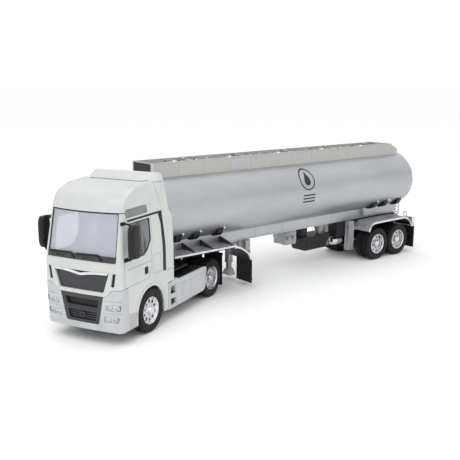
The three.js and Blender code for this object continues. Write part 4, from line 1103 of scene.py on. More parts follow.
def dashboard():
    """Dashboard with a raised instrument hood on the driver's side, air outlets and a centre console."""
    outline = smooth_line([(13, FLOOR_Z + 1), (9, 52), (8.6, 60), (9.2, 63.5), (12, 66.2), (17.4, 65.4),
                           (19.4, 62.5), (17.6, 56), (15.4, 50), (15, FLOOR_Z + 1)], 3)
    body = side_profile(outline, -31, 31)
    hood = side_profile(rounded([(12, 64), (12.4, 68.8), (17.4, 69.4), (20.4, 66.2), (19, 61)], 1.4), 9.5,
                        25.5)
    console = side_profile(rounded([(15, 50), (15, 64), (22, 62), (24, 50)], 1.2), -6, 6)
    join(body, hood, console)
    for x in (-27, -20, -10, 3, 27.5):
        cut(body, box((x - 2.2, x + 2.2), (17.6, 25), (60.2, 62.6)))
    return body


def seat(x):
    """Armchair seat: crowned cushion, bolstered back, headrest on two posts and a pedestal."""
    base = side_profile(rounded([(28, 51.5), (27.2, 54.4), (28.4, 56.8), (42, 56.2), (44, 53), (43, 51)],
                                1.6, 6),
                        x - 8.6, x + 8.6)
    back = side_profile(rounded([(41.6, 54.6), (44.4, 54), (48.4, 79.6), (46.4, 81), (43.4, 79)], 1.5, 6),
                        x - 8.2, x + 8.2)
    head = side_profile(rounded([(44.6, 82), (47.8, 81.6), (49, 87.4), (46.6, 88)], 1.2, 6), x - 5, x + 5)
    pedestal = box((x - 6, x + 6), (31, 41), (FLOOR_Z + 1, 52.5))
    posts = [rod("z", 0.5, 79, 83.5, (x + s, 46.4), 10) for s in (-2.6, 2.6)]
    bolsters = [side_profile(rounded([(27.6, 54.8), (28.2, 58.0), (42, 57.6), (43.6, 55)], 1.2, 6), a, b)
                for a, b in ((x - 9.4, x - 6.8), (x + 6.8, x + 9.4))]
    wings = [side_profile(rounded([(41, 58), (43.6, 57), (46.6, 77), (44, 77.5)], 1.2, 6), a, b)
             for a, b in ((x - 9.2, x - 6.6), (x + 6.6, x + 9.2))]
    return join(base, back, head, pedestal, *posts, *bolsters, *wings)


tractor_piece("cab_floor_and_bunk", floor_and_bunk(), INTERIOR, "cabin_interior", bevel=0.3)
tractor_piece("dashboard", dashboard(), INTERIOR, bevel=0.25)
for label, side in SIDES:
    tractor_piece(f"seat_{label}", seat(side * 17.5), INTERIOR, bevel=0.3)


def steering_wheel():
    """Rim, two spokes and a boss on a raked column."""
    ring = tube_along([(6.2 * math.cos(a), 6.2 * math.sin(a), 0)
                       for a in (2 * math.pi * k / 48 for k in range(48))], 0.75, 14, ring=True)
    spokes = [box((-6, 6), (-0.7, 0.7), (-0.45, 0.25)), box((-0.8, 0.8), (-6, 0), (-0.45, 0.25))]
    boss = turned("z", [(0, 0.7), (1.7, 0.6), (2.0, 0.1), (1.6, -0.8), (0, -0.8)], segments=32)
    column = rod("z", 0.8, -6.2, -0.4, (0, 0), 16)
    body = join(ring, *spokes, boss, column)
    body.data.transform(Matrix.Translation((17.5, 22.6, 68.6)) @ Matrix.Rotation(-0.5, 4, "X"))
    return body


tractor_piece("steering_wheel_rim", steering_wheel(), BLACK, "steering_wheel", bevel=0.1)


# ------------------------------------------------------------------ tractor chassis
RAIL_X = (10.6, 14.0)
RAIL_Z = (27.0, 40.0)
CHASSIS_BACK_Y = 178.0
DECK_Z = (40.0, 41.6)


def chassis():
    """Ladder frame: channel rails, cross members, axle carriers, leaf springs and cab mounts."""
    body = box((-RAIL_X[1], RAIL_X[1]), (14, CHASSIS_BACK_Y), (25, RAIL_Z[0]))
    for side in (1, -1):
        inner, outer = (side * x for x in RAIL_X)
        rail = box((inner, outer), (14, CHASSIS_BACK_Y), (RAIL_Z[0] - 1, RAIL_Z[1]))
        cut(rail, box((side * 12.4, side * 15), (84, CHASSIS_BACK_Y - 2), (29, 38)))
        join(body, rail)
        for y in (FRONT_AXLE_Y, REAR_AXLE_Y):
            carrier = [(y - 4.4, 26), (y - 4.4, 16.4), (y - 2.6, 14.6), (y + 2.6, 14.6), (y + 4.4, 16.4),
                       (y + 4.4, 26)]
            join(body, side_profile(carrier, inner, outer))
            spring = smooth_line([(y - 17, 25.6), (y - 9, 23.2), (y, 22.2), (y + 9, 23.2), (y + 17, 25.6)],
                                 4)
            leaf = spring + [(a, b + 1.9) for a, b in reversed(spring)]
            join(body, side_profile(leaf, side * 10.9, side * 13.7))
        for y in range(96, 176, 10):
            join(body, rod("x", 0.7, side * 12.2, side * 13.2, (y, 33.5), 12))
    for y in (31, 58, 92, 116, 150, 174):
        join(body, box((-11, 11), (y, y + 3), (RAIL_Z[0] - 0.5, RAIL_Z[1] - 1.5)))
    for y in (30, 58):
        join(body, box((-31, 31), (y, y + 6), (RAIL_Z[1] - 1, FLOOR_Z - GAP)))
    for y in (FRONT_AXLE_Y, REAR_AXLE_Y):
        cut(body, rod("x", AXLE_BORE_R, -20, 20, (y, TYRE_R), 24))
    return body


def deck():
    """Walk plate behind the cab with raised bars, and the board that carries the air line sockets."""
    body = plan_profile(rounded(rectangle((-30, 30), (84, 121)), 1.5), *DECK_Z)
    for k in range(12):
        y = 87 + 2.9 * k
        for x0, x1 in ((-28.4, -15.4), (-13.2, 13.2), (15.4, 28.4)):
            join(body, box((x0, x1), (y, y + 1.1), (DECK_Z[1] - 0.2, DECK_Z[1] + 0.45)))
    join(body, box((-10, 10), (84, 85.4), (DECK_Z[0] + 0.4, 53)))
    join(body, box((-10, 10), (83.6, 86), (51.8, 53.2)))
    return body


tractor_piece("ladder_frame", chassis(), BLACK, "chassis_frame", bevel=0.2)
tractor_piece("walk_plate", deck(), BLACK, bevel=0.12)
couplings = [turned("y", [(0, 85.2), (1.5, 85.2), (1.5, 86.2), (1.15, 86.3), (1.15, 87.2), (0.8, 87.6),
                          (0, 87.6)],
                    (x, 0, 49), 28) for x in (-6, 0, 6)]
tractor_piece("air_couplings", join(*couplings), CHROME, bevel=0.08)
studs = [turned("z", [(0, 41.4), (1.0, 41.4), (0.95, 42.1), (0.5, 42.6), (0, 42.7)], (x, y, 0), 20)
         for x in (-25, 25) for y in (88, 103, 117)]
tractor_piece("deck_studs", join(*studs), CHROME)


KEYHOLE_R = 2.55
FIFTH_WHEEL_TOP_Z = 44.2


def fifth_wheel():
    """Coupling plate with a keyhole mouth, grease grooves and chamfered rims."""
    low, high = RAIL_Z[1] + GAP, FIFTH_WHEEL_TOP_Z
    body = turned("z", [(0, low), (15.6, low), (16.5, low + 0.9), (16.5, high - 0.5), (16.0, high),
                        (0, high)],
                  (0, KINGPIN_Y, 0), 96)
    mouth = plan_profile([(-KEYHOLE_R, KINGPIN_Y), (KEYHOLE_R, KINGPIN_Y), (5, KINGPIN_Y + 20),
                          (-5, KINGPIN_Y + 20)], 30, 50)
    cut(body, mouth, rod("z", KEYHOLE_R, 30, 50, (0, KINGPIN_Y), 40))
    for radius in (7.0, 12.0):
        groove = turned("z", rectangle((radius, radius + 0.9), (high - 0.4, high + 1)), (0, KINGPIN_Y, 0),
                        72)
        cut(body, groove)
    return body


tractor_piece("fifth_wheel_plate", fifth_wheel(), BLACK, "fifth_wheel", bevel=0.15)

# Side fairings with two step openings, a curved tail in front of the drive wheel and a lipped top edge.
FAIRING_X = (26.0, 37.6)
FAIRING_SIDE = [(73, 11.4), (136.7, 11.9), (136.7, 35), (90, 35.2), (88, 36.8), (73, 35.2)]
STEPS = [rectangle((76.4, 84.4), up) for up in ((24.6, 31.4), (14.6, 20.4))]


def fairing(side):
    inner, outer = (side * x for x in FAIRING_X)
    body = side_profile(FAIRING_SIDE, inner, outer)
    tail = smooth_line([(134, 12), (137.6, 12.6), (140.4, 15.2), (141.8, 19), (142.2, 27), (142.2, 34.2),
                        (134, 34.8)], 3)
    join(body, side_profile(tail, outer - side, outer))
    hollow = inset(rectangle((88, 136.7), (11.4, 35)), 1.4)
    cut(body, side_profile(hollow, side * 25, side * 36.2),
        box((side * 20, side * 36.2), (89.4, 135), (5, 13)))
    for opening in STEPS:
        cut(body, side_profile(rounded(opening, 0.7), side * 31, side * 40))
    cut(body, box((side * 20, side * 36.6), (REAR_AXLE_Y - TYRE_R - 0.9, 150), (0, 40)))
    frame_line = cut(side_profile(rectangle((74.8, 86.2), (13, 33)), outer - side * 0.3, outer + side),
                     side_profile(rectangle((75.3, 85.7), (13.5, 32.5)), outer - side, outer + side * 2))
    long_line = side_profile([(89, 30.4), (138, 30.0), (138, 29.5), (89, 29.9)], outer - side * 0.3,
                             outer + side)
    drop_line = side_profile(rectangle((112.4, 112.9), (12, 29.6)), outer - side * 0.3, outer + side)
    return cut(body, frame_line, long_line, drop_line)


for label, side in SIDES:
    tractor_piece(f"fairing_shell_{label}", fairing(side), WHITE_ABS, f"side_fairing_{label}", bevel=0.25,
                  levels=3)
    backs = [box((side * 31.0, side * 31.6), (76.0, 84.8), up) for up in ((24.2, 31.8), (14.2, 20.8))]
    bars = [box((side * 35.9, side * 36.9), (y, y + 0.9), (14.4, 20.6)) for y in (78.2, 81.4)]
    tread = box((side * 32, side * 37.2), (76.2, 84.6), (24.4, 25.3))
    tractor_piece(f"step_lining_{label}", join(*backs, *bars, tread), BLACK, bevel=0.08)
    cover = plan_profile(rounded([(side * 24, 84.5), (side * 36.3, 88.6), (side * 36.3, 135.6),
                                  (side * 24, 135.6)], 1.2),
                         35.15, 35.9)
    tractor_piece(f"fairing_cover_{label}", cover, BLACK, bevel=0.15)

BAR_Y = (CHASSIS_BACK_Y + GAP, CHASSIS_BACK_Y + 3)


def ribbed_flap(x0, x1, y0, y1, z0, z1, facing):
    """Mudflap with thin upright ribs on one face and a thicker bottom hem."""
    body = box((x0, x1), (y0, y1), (z0, z1))
    low, high = min(x0, x1), max(x0, x1)
    count = int((high - low) / 2.2)
    face = y1 if facing > 0 else y0
    for k in range(1, count):
        x = low + (high - low) * k / count
        cut(body, box((x - 0.3, x + 0.3), (face - facing * 0.3, face + facing), (z0 + 2.4, z1 - 2)))
    return body


drive_flaps = [ribbed_flap(side * 16, side * 36, BAR_Y[0], BAR_Y[0] + 1.4, 6, 37, 1) for _, side in SIDES]
light_bar = join(side_profile(rounded(rectangle(BAR_Y, (36.6, 39.2)), 0.5), -36, 36), *drive_flaps)
tractor_piece("drive_flaps", light_bar, FLAP, "drive_mudflaps", bevel=0.12)
for label, side in SIDES:
    lamps = [turned("y", [(0, 180.8), (r, 180.8), (r, 181.4), (r * 0.6, 181.8), (0, 181.9)],
                    (side * x, 0, 37.9), 24)
             for x, r in ((20, 1.0), (24, 1.0), (28, 1.0))]
    for lamp in lamps:
        lamp.data.transform(Matrix.Translation((0, -0.9, 0)))
    tractor_piece(f"drive_tail_lamps_{label}", join(*lamps), RED)


# ------------------------------------------------------------------ tank
TANK_STEPS = 128


def tank_point(angle, grow):
    """A point of the tank's oval section, grown outwards."""
    return (TANK_HALF_W + grow) * math.cos(angle), TANK_Z + (TANK_HALF_H + grow) * math.sin(angle)


def tank_ring(grow, y, steps=TANK_STEPS):
    ring = []
    for k in range(steps):
        x, z = tank_point(2 * math.pi * k / steps, grow)
        ring.append((x, y, z))
    return ring


def tank_prism(grow, y0, y1):
    return loft([tank_ring(grow, y0), tank_ring(grow, y1)])


def barrel():
    """Tank shell of six courses: shallow welded joints show as fine double lines."""
    stations = [(TANK_FRONT_Y, 0), (TANK_FRONT_Y + 1.2, 0)]
    courses = 6
    span = TANK_BACK_Y - TANK_FRONT_Y
    for k in range(1, courses):
        y = TANK_FRONT_Y + span * k / courses
        stations += [(y - 1.0, 0), (y - 0.6, -0.1), (y - 0.3, 0), (y + 0.3, 0), (y + 0.6, -0.1),
                     (y + 1.0, 0)]
    stations += [(TANK_BACK_Y - 1.2, 0), (TANK_BACK_Y, 0)]
    rings = [tank_ring(grow, y) for y, grow in stations]
    rings += [tank_ring(-TANK_WALL, y) for y in (TANK_BACK_Y, TANK_FRONT_Y)]
    rings.append(rings[0])
    return loft(rings, cap=False)


def tank_end(y, direction):
    """Dished end with a knuckle radius, a rolled rim and a spigot that slips inside the barrel."""
    spigot = 1 - (TANK_WALL + GAP) / TANK_HALF_H
    shape = [(0, DISH - 0.5), (spigot - 0.3, 6), (spigot - 0.05, 1), (spigot - 0.05, -5), (spigot, -5),
             (spigot, -0.3), (1, -0.3), (1.0, 0.6), (0.992, 0.9), (0.992, 1.5)]
    for k in range(1, 19):
        t = k / 18 * math.pi / 2
        shape.append((0.992 * math.cos(t), 1.5 + DISH * math.sin(t)))
    shape[-1] = (0, 1.5 + DISH)
    profile = [(r * TANK_HALF_H, h * direction) for r, h in shape]
    middle = (0, y + direction * GAP, TANK_Z)
    return turned("y", profile, middle, TANK_STEPS, (TANK_HALF_W / TANK_HALF_H, 1, 1))


trailer_piece("tank_shell", barrel(), TANK, "tank_barrel", angle=50)
trailer_piece("tank_front_dish", tank_end(TANK_FRONT_Y, -1), TANK, "tank_front_end", angle=40)
trailer_piece("tank_rear_dish", tank_end(TANK_BACK_Y, 1), TANK, "tank_rear_end", angle=40)


# ------------------------------------------------------------------ walkway on the tank
COAMING_WALL = 1.6
DECK_HALF_W = COAMING_HALF_W - COAMING_WALL - GAP


def coaming():
    """Walls of the walkway with a rolled top bead, a foot strip, panel joints and a rear ramp."""
    front, back = COAMING_Y
    outline = [(front, 112), (front, COAMING_TOP_Z), (back - 14, COAMING_TOP_Z), (back, 128), (back, 112)]
    body = side_profile(outline, -COAMING_HALF_W, COAMING_HALF_W)
    inner = COAMING_HALF_W - COAMING_WALL
    cut(body, box((-inner, inner), (front + COAMING_WALL, back - 15), (COAMING_FLOOR_Z, 140)))
    cut(body, tank_prism(0.08, -60, 380))
    for side in (1, -1):
        bead = rounded(rectangle((side * (inner - 0.1), side * (COAMING_HALF_W + 0.25)),
                                 (134.0, COAMING_TOP_Z)), 0.45, 4)
        join(body, front_profile(bead, front, back - 14))
        foot = [(side * (COAMING_HALF_W - 0.6), 118), (side * (COAMING_HALF_W + 0.5), 118),
                (side * (COAMING_HALF_W + 0.2), 122.6), (side * (COAMING_HALF_W - 0.6), 122.6)]
        foot_bar = front_profile(foot, front + 0.2, back - 1)
        cut(foot_bar, tank_prism(0.08, -60, 380))
        join(body, foot_bar)
        for k in range(1, 12):
            y = front + 30 * k
            line = box((side * (COAMING_HALF_W - 0.15), side * (COAMING_HALF_W + 2)), (y - 0.2, y + 0.2),
                       (123, 134))
            cut(body, line)
    return body


trailer_piece("walkway_coaming", coaming(), COAMING, "spill_coaming")

front_board = box((-14.6, 14.6), (COAMING_Y[0] - 0.1, COAMING_Y[0] + 1.7), (124.6, 134.2))
cut(front_board, tank_prism(0.3, -60, 0))
trailer_piece("coaming_front_board", front_board, BLACK, bevel=0.2)
posts = [box((side * 14.4, side * 16.3), (COAMING_Y[0] - 0.2, COAMING_Y[0] + 1.9), (119.5, 135))
         for _, side in SIDES]
for post in posts:
    cut(post, tank_prism(0.2, -60, 0))
trailer_piece("coaming_corner_posts", join(*posts), ENAMEL, bevel=0.25)
for label, side in SIDES:
    panel = box((side * (COAMING_HALF_W - 0.6), side * (COAMING_HALF_W + 0.3)), (63, 82), (122.8, 133.8))
    trailer_piece(f"coaming_panel_{label}", panel, TANK, bevel=0.15)

DECK_Y = (COAMING_Y[0] + COAMING_WALL + GAP, COAMING_Y[1] - 15 - GAP)
HATCHES = 5
HATCH_PITCH = (DECK_Y[1] - DECK_Y[0]) / HATCHES
FLOOR_TOP = COAMING_FLOOR_Z + 2.0


def walkway_floor():
    """Plated floor; each bay has four lengthwise tread bars and six cross bars."""
    body = box((-DECK_HALF_W, DECK_HALF_W), DECK_Y, (COAMING_FLOOR_Z + GAP, FLOOR_TOP))
    for bay in range(HATCHES):
        start = DECK_Y[0] + HATCH_PITCH * bay
        for x in (-12.4, -11, 10.2, 11.6):
            join(body, box((x, x + 0.7), (start + 1.5, start + HATCH_PITCH - 1.5),
                           (FLOOR_TOP - 0.2, FLOOR_TOP + 0.7)))
        for k in range(6):
            y = start + 2.5 + 3.3 * k
            join(body, box((-9.5, 9.5), (y, y + 0.9), (FLOOR_TOP - 0.2, FLOOR_TOP + 0.8)))
    return body


def hatch_dome(y):
    """Manhole: flanged neck, crowned lid, six swing bolts with wing nuts, a hinge and a vent cap."""
    neck = turned("z", [(0, FLOOR_TOP - 0.4), (10, FLOOR_TOP - 0.4), (10, FLOOR_TOP + 0.5),
                        (9.2, FLOOR_TOP + 0.7), (8.8, 131.4), (9.6, 131.6), (9.8, 131.9), (9.6, 132.3),
                        (8.6, 132.5), (7.6, 132.3), (6.8, 132.5), (4.4, 133.1), (2.6, 133.2), (2.4, 133.8),
                        (1.6, 134.1), (0, 134.2)],
                  (0, y, 0), 64)
    parts = []
    for x, dy in around(6, 9.3, 0.5):
        parts.append(rod("z", 0.6, FLOOR_TOP, 132.9, (x, y + dy), 12))
        angle = math.atan2(dy, x)
        wing = box((-1.3, 1.3), (-0.35, 0.35), (132.5, 133.6))
        wing.data.transform(Matrix.Translation((x, y + dy, 0)) @ Matrix.Rotation(angle, 4, "Z"))
        parts.append(wing)
    parts.append(box((-3.2, 3.2), (y + 8.6, y + 11.6), (FLOOR_TOP - 0.2, 132.2)))
    parts.append(rod("x", 0.9, -4, 4, (y + 11, 132.2), 20))
    parts.append(box((-1.2, 1.2), (y - 12.2, y - 8.8), (131.2, 132.6)))
    return join(neck, *parts)


def service_bay(y):
    """Between two manholes: a cross rail, a vent box, two pressure valves and four breather pipes."""
    rail = box((-13, 13), (y + 15, y + 17), (FLOOR_TOP - 0.4, 134))
    for x in (-9, -3, 3, 9):
        cut(rail, box((x - 2, x + 2), (y + 14, y + 18), (130.6, 133)))
    parts = [side_profile(rounded([(y + 21, FLOOR_TOP - 0.4), (y + 29, FLOOR_TOP - 0.4), (y + 28.4, 131.6),
                                   (y + 21.6, 131.6)], 0.8), -3, 3)]
    for side in (1, -1):
        x = side * 8
        parts.append(turned("z", [(0, FLOOR_TOP - 0.4), (3.4, FLOOR_TOP - 0.4), (3.4, FLOOR_TOP + 0.7),
                                  (1.8, FLOOR_TOP + 1), (1.6, 131.4), (2.9, 131.7), (2.9, 132.5),
                                  (2.2, 132.9), (0.9, 133), (0, 133)], (x, y + 24, 0), 32))
        for bx, by in around(5, 2.7):
            parts.append(hexagon_up(0.4, FLOOR_TOP, FLOOR_TOP + 1.2, x + bx, y + 24 + by))
        for dy, top in ((18.6, 135.0), (31.4, 135.6)):
            parts.append(turned("z", [(0, FLOOR_TOP - 0.4), (1.3, FLOOR_TOP - 0.4), (1.3, FLOOR_TOP + 0.6),
                                      (0.8, FLOOR_TOP + 0.9), (0.8, top - 1.6), (1.25, top - 1.5),
                                      (1.25, top - 0.3), (0.9, top), (0, top)], (side * 10.6, y + dy, 0),
                                24))
    return join(rail, *parts)


def hexagon_up(radius, z0, z1, x, y):
    outline = [(x + radius * math.cos(math.pi * k / 3),
                y + radius * math.sin(math.pi * k / 3)) for k in range(6)]
    return plan_profile(outline, z0, z1)


trailer_piece("walkway_plating", walkway_floor(), CHROME, "hatch_deck", bevel=0.1)
for bay in range(HATCHES):
    y = DECK_Y[0] + HATCH_PITCH * (bay + 0.5)
    trailer_piece(f"manhole_{bay + 1}", hatch_dome(y), CHROME, bevel=0.08)
    trailer_piece(f"vent_valves_{bay + 1}", service_bay(y), CHROME, bevel=0.1)
    seals = [turned("z", [(9.5, 131.2), (9.95, 131.3), (9.95, 131.6), (9.5, 131.7)], (0, y, 0), 64)]
    for x in (-8, 8):
        seals.append(turned("z", rectangle((2.0, 2.35), (132.6, 132.95)), (x, y + 24, 0), 32))
    trailer_piece(f"hatch_seals_{bay + 1}", join(*seals), BLACK)
    # Black strips on the floor beside the cross bars: painted shade standing for the depth of the slots.
    rungs = [box((-9.8, 9.8), (y - 29.4 + 3.3 * k, y - 28.9 + 3.3 * k),
                 (FLOOR_TOP, FLOOR_TOP + 0.5)) for k in range(5)]
    trailer_piece(f"tread_bar_shade_{bay + 1}", join(*rungs), BLACK)


# ------------------------------------------------------------------ generic mark on each flank of the tank
def on_tank(outline, side, height=0.12):
    """An outline of (y, z) points laid on the flank as a thin film; its edge follows the tank."""
    shell = cut(tank_prism(height, 0, 300), tank_prism(-0.3, -1, 301))
    return common(shell, side_profile(outline, side * 10, side * 45))


def arc(centre, radius, start, end, steps):
    return [(centre[0] + radius * math.cos(start + (end - start) * k / steps),
             centre[1] + radius * math.sin(start + (end - start) * k / steps)) for k in range(steps + 1)]


MARK = (155.0, 106.5)
MARK_R = 11.0
for label, side in SIDES:
    ring = arc(MARK, MARK_R, 0, 2 * math.pi, 56)[:-1]
    inner_ring = [(MARK[0] + (y - MARK[0]) * 0.88, MARK[1] + (z - MARK[1]) * 0.88) for y, z in ring]
    drop = smooth_line([(155, 114.2), (157.2, 110.2), (159.0, 106.6), (159.1, 103.4), (157.4, 101.2),
                        (155, 100.6), (152.6, 101.2), (150.9, 103.4), (151.0, 106.6), (152.8, 110.2),
                        (155, 114.2)], 6)[:-1]
    shell = cut(tank_prism(0.12, 0, 300), tank_prism(-0.3, -1, 301))
    ring_line = cut(side_profile(ring, side * 10, side * 45), side_profile(inner_ring, side * 9, side * 46))
    trailer_piece(f"flank_mark_ring_{label}", common(shell, ring_line), INK, angle=60)
    trailer_piece(f"flank_mark_drop_{label}", on_tank(drop, side), INK, angle=60)
    stripes = [on_tank(rectangle((146, 164), (z, z + 1.5)), side) for z in (82.5, 86.0, 89.5)]
    trailer_piece(f"flank_mark_stripes_{label}", join(*stripes), INK, angle=60)


# ------------------------------------------------------------------ trailer sub-frame
WEB_WALL = 1.5
WEB_Y = (-28.0, 338.0)
SADDLE_Y = ((-14, 7, 36), (275, 296, 322))
SADDLE_T = 7.0


def subframe():
    """Pressed channel under the tank with joint lines, saddle rails and a tail plate."""
    body = box((-WEB_X, WEB_X), WEB_Y, (WEB_BOTTOM_Z, 66))
    cut(body, box((-WEB_X + WEB_WALL, WEB_X - WEB_WALL), (WEB_Y[0] - 1, WEB_Y[1] + 1),
                  (WEB_BOTTOM_Z + WEB_WALL, 70)))
    for rows in SADDLE_Y:
        for _, side in SIDES:
            rail = side_profile([(rows[0] - 4, 66), (rows[0] - 1, 50.2), (rows[2] + 12, 50.2),
                                 (rows[2] + 20, 66)],
                                side * 11, side * 16.2)
            join(body, rail)
    join(body, box((-WEB_X + 1, WEB_X - 1), (334, 337), (WEB_BOTTOM_Z + 1, 56)))
    cut(body, tank_prism(0.05, -60, 380))
    for side in (1, -1):
        for y in range(60, 260, 40):
            cut(body, box((side * (WEB_X - 0.18), side * 20), (y - 0.2, y + 0.2), (WEB_BOTTOM_Z - 1, 60)))
        join(body, box((side * (WEB_X - 0.5), side * (WEB_X + 0.7)), WEB_Y,
                       (WEB_BOTTOM_Z, WEB_BOTTOM_Z + 1.1)))
        for y in range(80, 250, 20):
            join(body, rod("x", 0.55, side * (WEB_X - 0.4), side * (WEB_X + 0.4), (y, 50.6), 10))
    return body


def saddle(side, y):
    """Crescent saddle under the flank of the tank, hollowed on its face like a spoon."""
    upper, lower = [], []
    steps = 14
    for k in range(steps + 1):
        angle = math.radians(-62 + 21 * k / steps)
        depth = 0.9 + 2.6 * math.sin(math.pi * k / steps)
        x, z = tank_point(angle, 0.03)
        u, v = tank_point(angle, 0.03 + depth)
        upper.append((side * x, z))
        lower.insert(0, (side * u, v))
    body = front_profile(upper + lower, y, y + SADDLE_T)
    x, z = tank_point(math.radians(-50), 5.0)
    dimple = turned("y", [(0, y - 1.8), (2.0, y - 0.9), (2.6, y + 0.2), (0, y + 1.2)], (side * x, 0, z),
                    32)
    return cut(body, dimple)


trailer_piece("subframe_channel", subframe(), TANK, "subframe", bevel=0.15)
for label, side in SIDES:
    for row, ys in zip(("front", "rear"), SADDLE_Y):
        saddles = [saddle(side, y) for y in ys]
        trailer_piece(f"saddles_{row}_{label}", join(*saddles), BLACK, bevel=0.3)
        lamps = []
        for y in ys:
            x, z = tank_point(math.radians(-39), 0.9)
            lamps.append(turned("z", [(0, -1.1), (0.7, -0.8), (1.05, -0.2), (1.05, 0.3), (0.7, 0.9),
                                      (0, 1.1)],
                                (side * x, y + SADDLE_T + 0.2, z), 24))
        trailer_piece(f"marker_lamps_{row}_{label}", join(*lamps), PEARL)


# ------------------------------------------------------------------ coupling plate of the trailer
coupler_low, coupler_high = FIFTH_WHEEL_TOP_Z + GAP, WEB_BOTTOM_Z - GAP
skid = plan_profile(rounded(rectangle((-22, 22), (-20, 24)), 3), coupler_low, coupler_high)
kingpin = turned("z", [(0, 36), (1.9, 36), (2.2, 36.4), (2.2, 38), (1.5, 38.4), (1.5, 41.4), (2.2, 41.8),
                       (2.2, coupler_low + 1), (0, coupler_low + 1)], segments=40)
trailer_piece("coupling_skid_plate", join(skid, kingpin), STEEL, "kingpin_plate", bevel=0.2)


# ------------------------------------------------------------------ front platforms
PLATFORM_TOP = [(-22, PLATFORM_Z), (50, PLATFORM_Z), (59.7, 46.9), (65.9, 42.8), (70.6, 38.2), (73.4, 32.7)]
PLATFORM_UNDER = [(71.8, 32.7), (69.2, 37.6), (64.9, 41.8), (59, 45.5), (49.6, PLATFORM_Z - 1.5),
                  (-22, PLATFORM_Z - 1.5)]
GUSSET_Y = (1, 23, 48)


def bent(top, under):
    """A plate's section with its bends smoothed, its long flats kept straight."""
    def curve(points, flat_first):
        flat, bend = (points[:1], points[1:]) if flat_first else (points[-1:], points[:-1])
        smooth = smooth_line(bend, 4)
        return flat + smooth if flat_first else smooth + flat
    return curve(top, True) + curve(under, False)


def platform_plate(side):
    """Platform with lengthwise tread ridges that follow the bend; its bright outer edge is drawn apart as a
    painted highlight.
    """
    inner, outer = side * (WEB_X + 0.1), side * SIDE_X
    body = side_profile(bent(PLATFORM_TOP, PLATFORM_UNDER), inner, outer)
    lifted = [(y + 0.1, z + 0.75) for y, z in PLATFORM_TOP[:-1]]
    ridge_top = [lifted[0], *smooth_line(lifted[1:], 4)]
    ridge = ridge_top + [(y, z - 1.4) for y, z in reversed(ridge_top)]
    for k in range(8):
        x = 15.4 + 2.6 * k
        join(body, side_profile(ridge, side * x, side * (x + 1.5)))
    return body


def groove_shade(side):
    """A dark sheet between the tread ridges: painted shade in the grooves of the grey plate."""
    top = [(y + 0.15, z + 0.2) for y, z in PLATFORM_TOP[:-1]]
    under = [(y, z - 0.3) for y, z in reversed(top)]
    return side_profile(bent(top, under), side * (WEB_X + 2), side * (SIDE_X - 1.2))


# A bright strip along the plate's outer edge: painted highlight.
def platform_edge_highlight(side):
    top = [(y, z + 0.3) for y, z in PLATFORM_TOP]
    under = [(PLATFORM_UNDER[0][0] + 0.1, 32.0), *[(y, z - 0.05) for y, z in PLATFORM_UNDER[1:]]]
    return side_profile(bent(top, under), side * (SIDE_X - 1.0), side * (SIDE_X + 0.05))


for label, side in SIDES:
    trailer_piece(f"platform_{label}", platform_plate(side), GREY, f"front_platform_{label}", bevel=0.14)
    trailer_piece(f"platform_edge_highlight_{label}", platform_edge_highlight(side), EDGE_HIGHLIGHT, bevel=0.2)
    # Charcoal sheet between the ridges: painted shade.
    trailer_piece(f"platform_groove_shade_{label}", groove_shade(side), CHARCOAL)
    gussets = []
    for y in GUSSET_Y:
        outline = [(side * (WEB_X + 0.2), 50), (side * (SIDE_X - 1), 50), (side * (SIDE_X - 1), 51.2),
                   (side * (SIDE_X - 6), 53.2), (side * (WEB_X + 2), 57.4), (side * (WEB_X + 0.2), 57.4)]
        gusset = front_profile(outline, y, y + 1.6)
        pocket = [(side * (WEB_X + 2), 52), (side * (SIDE_X - 8), 52), (side * (WEB_X + 3), 55.8),
                  (side * (WEB_X + 2), 55.8)]
        cut(gusset, front_profile(pocket, y - 1, y + 0.5))
        gussets.append(gusset)
    trailer_piece(f"platform_gussets_{label}", join(*gussets), CHARCOAL, bevel=0.2)
    # A black sheet just under the grey plate: painted shade on its underside.
    underside_shade = side_profile([(y - 0.4, z - 0.35) for y, z in bent(
        [(-22, 49), (49.6, 49), (59, 45.5), (64.9, 41.8), (69.2, 37.6), (71.5, 33.5)],
        [(70.6, 33.2), (68.2, 37.2), (64.2, 41.1), (58.4, 44.8), (49, 48.2), (-22, 48.2)])],
        side * (WEB_X + 0.6), side * (SIDE_X - 1.2))
    trailer_piece(f"platform_underside_shade_{label}", underside_shade, BLACK, bevel=0.1)
    flap = ribbed_flap(side * 15, side * SIDE_X, 71.9, 73.3, 8.5, 33.4, 1)
    trailer_piece(f"platform_flap_{label}", flap, FLAP, bevel=0.2)
    plug_lamps = [turned("x", [(0, side * 36.2), (0.55, side * 36.2), (0.55, side * 37.2),
                               (0, side * 37.5)],
                         (0, y, 47.6), 20) for y in (-14, 52)]
    trailer_piece(f"side_marker_lamps_{label}", join(*plug_lamps), PEARL)


# ------------------------------------------------------------------ landing legs
LEG_X = 14.0
LEG_Y = 86.0


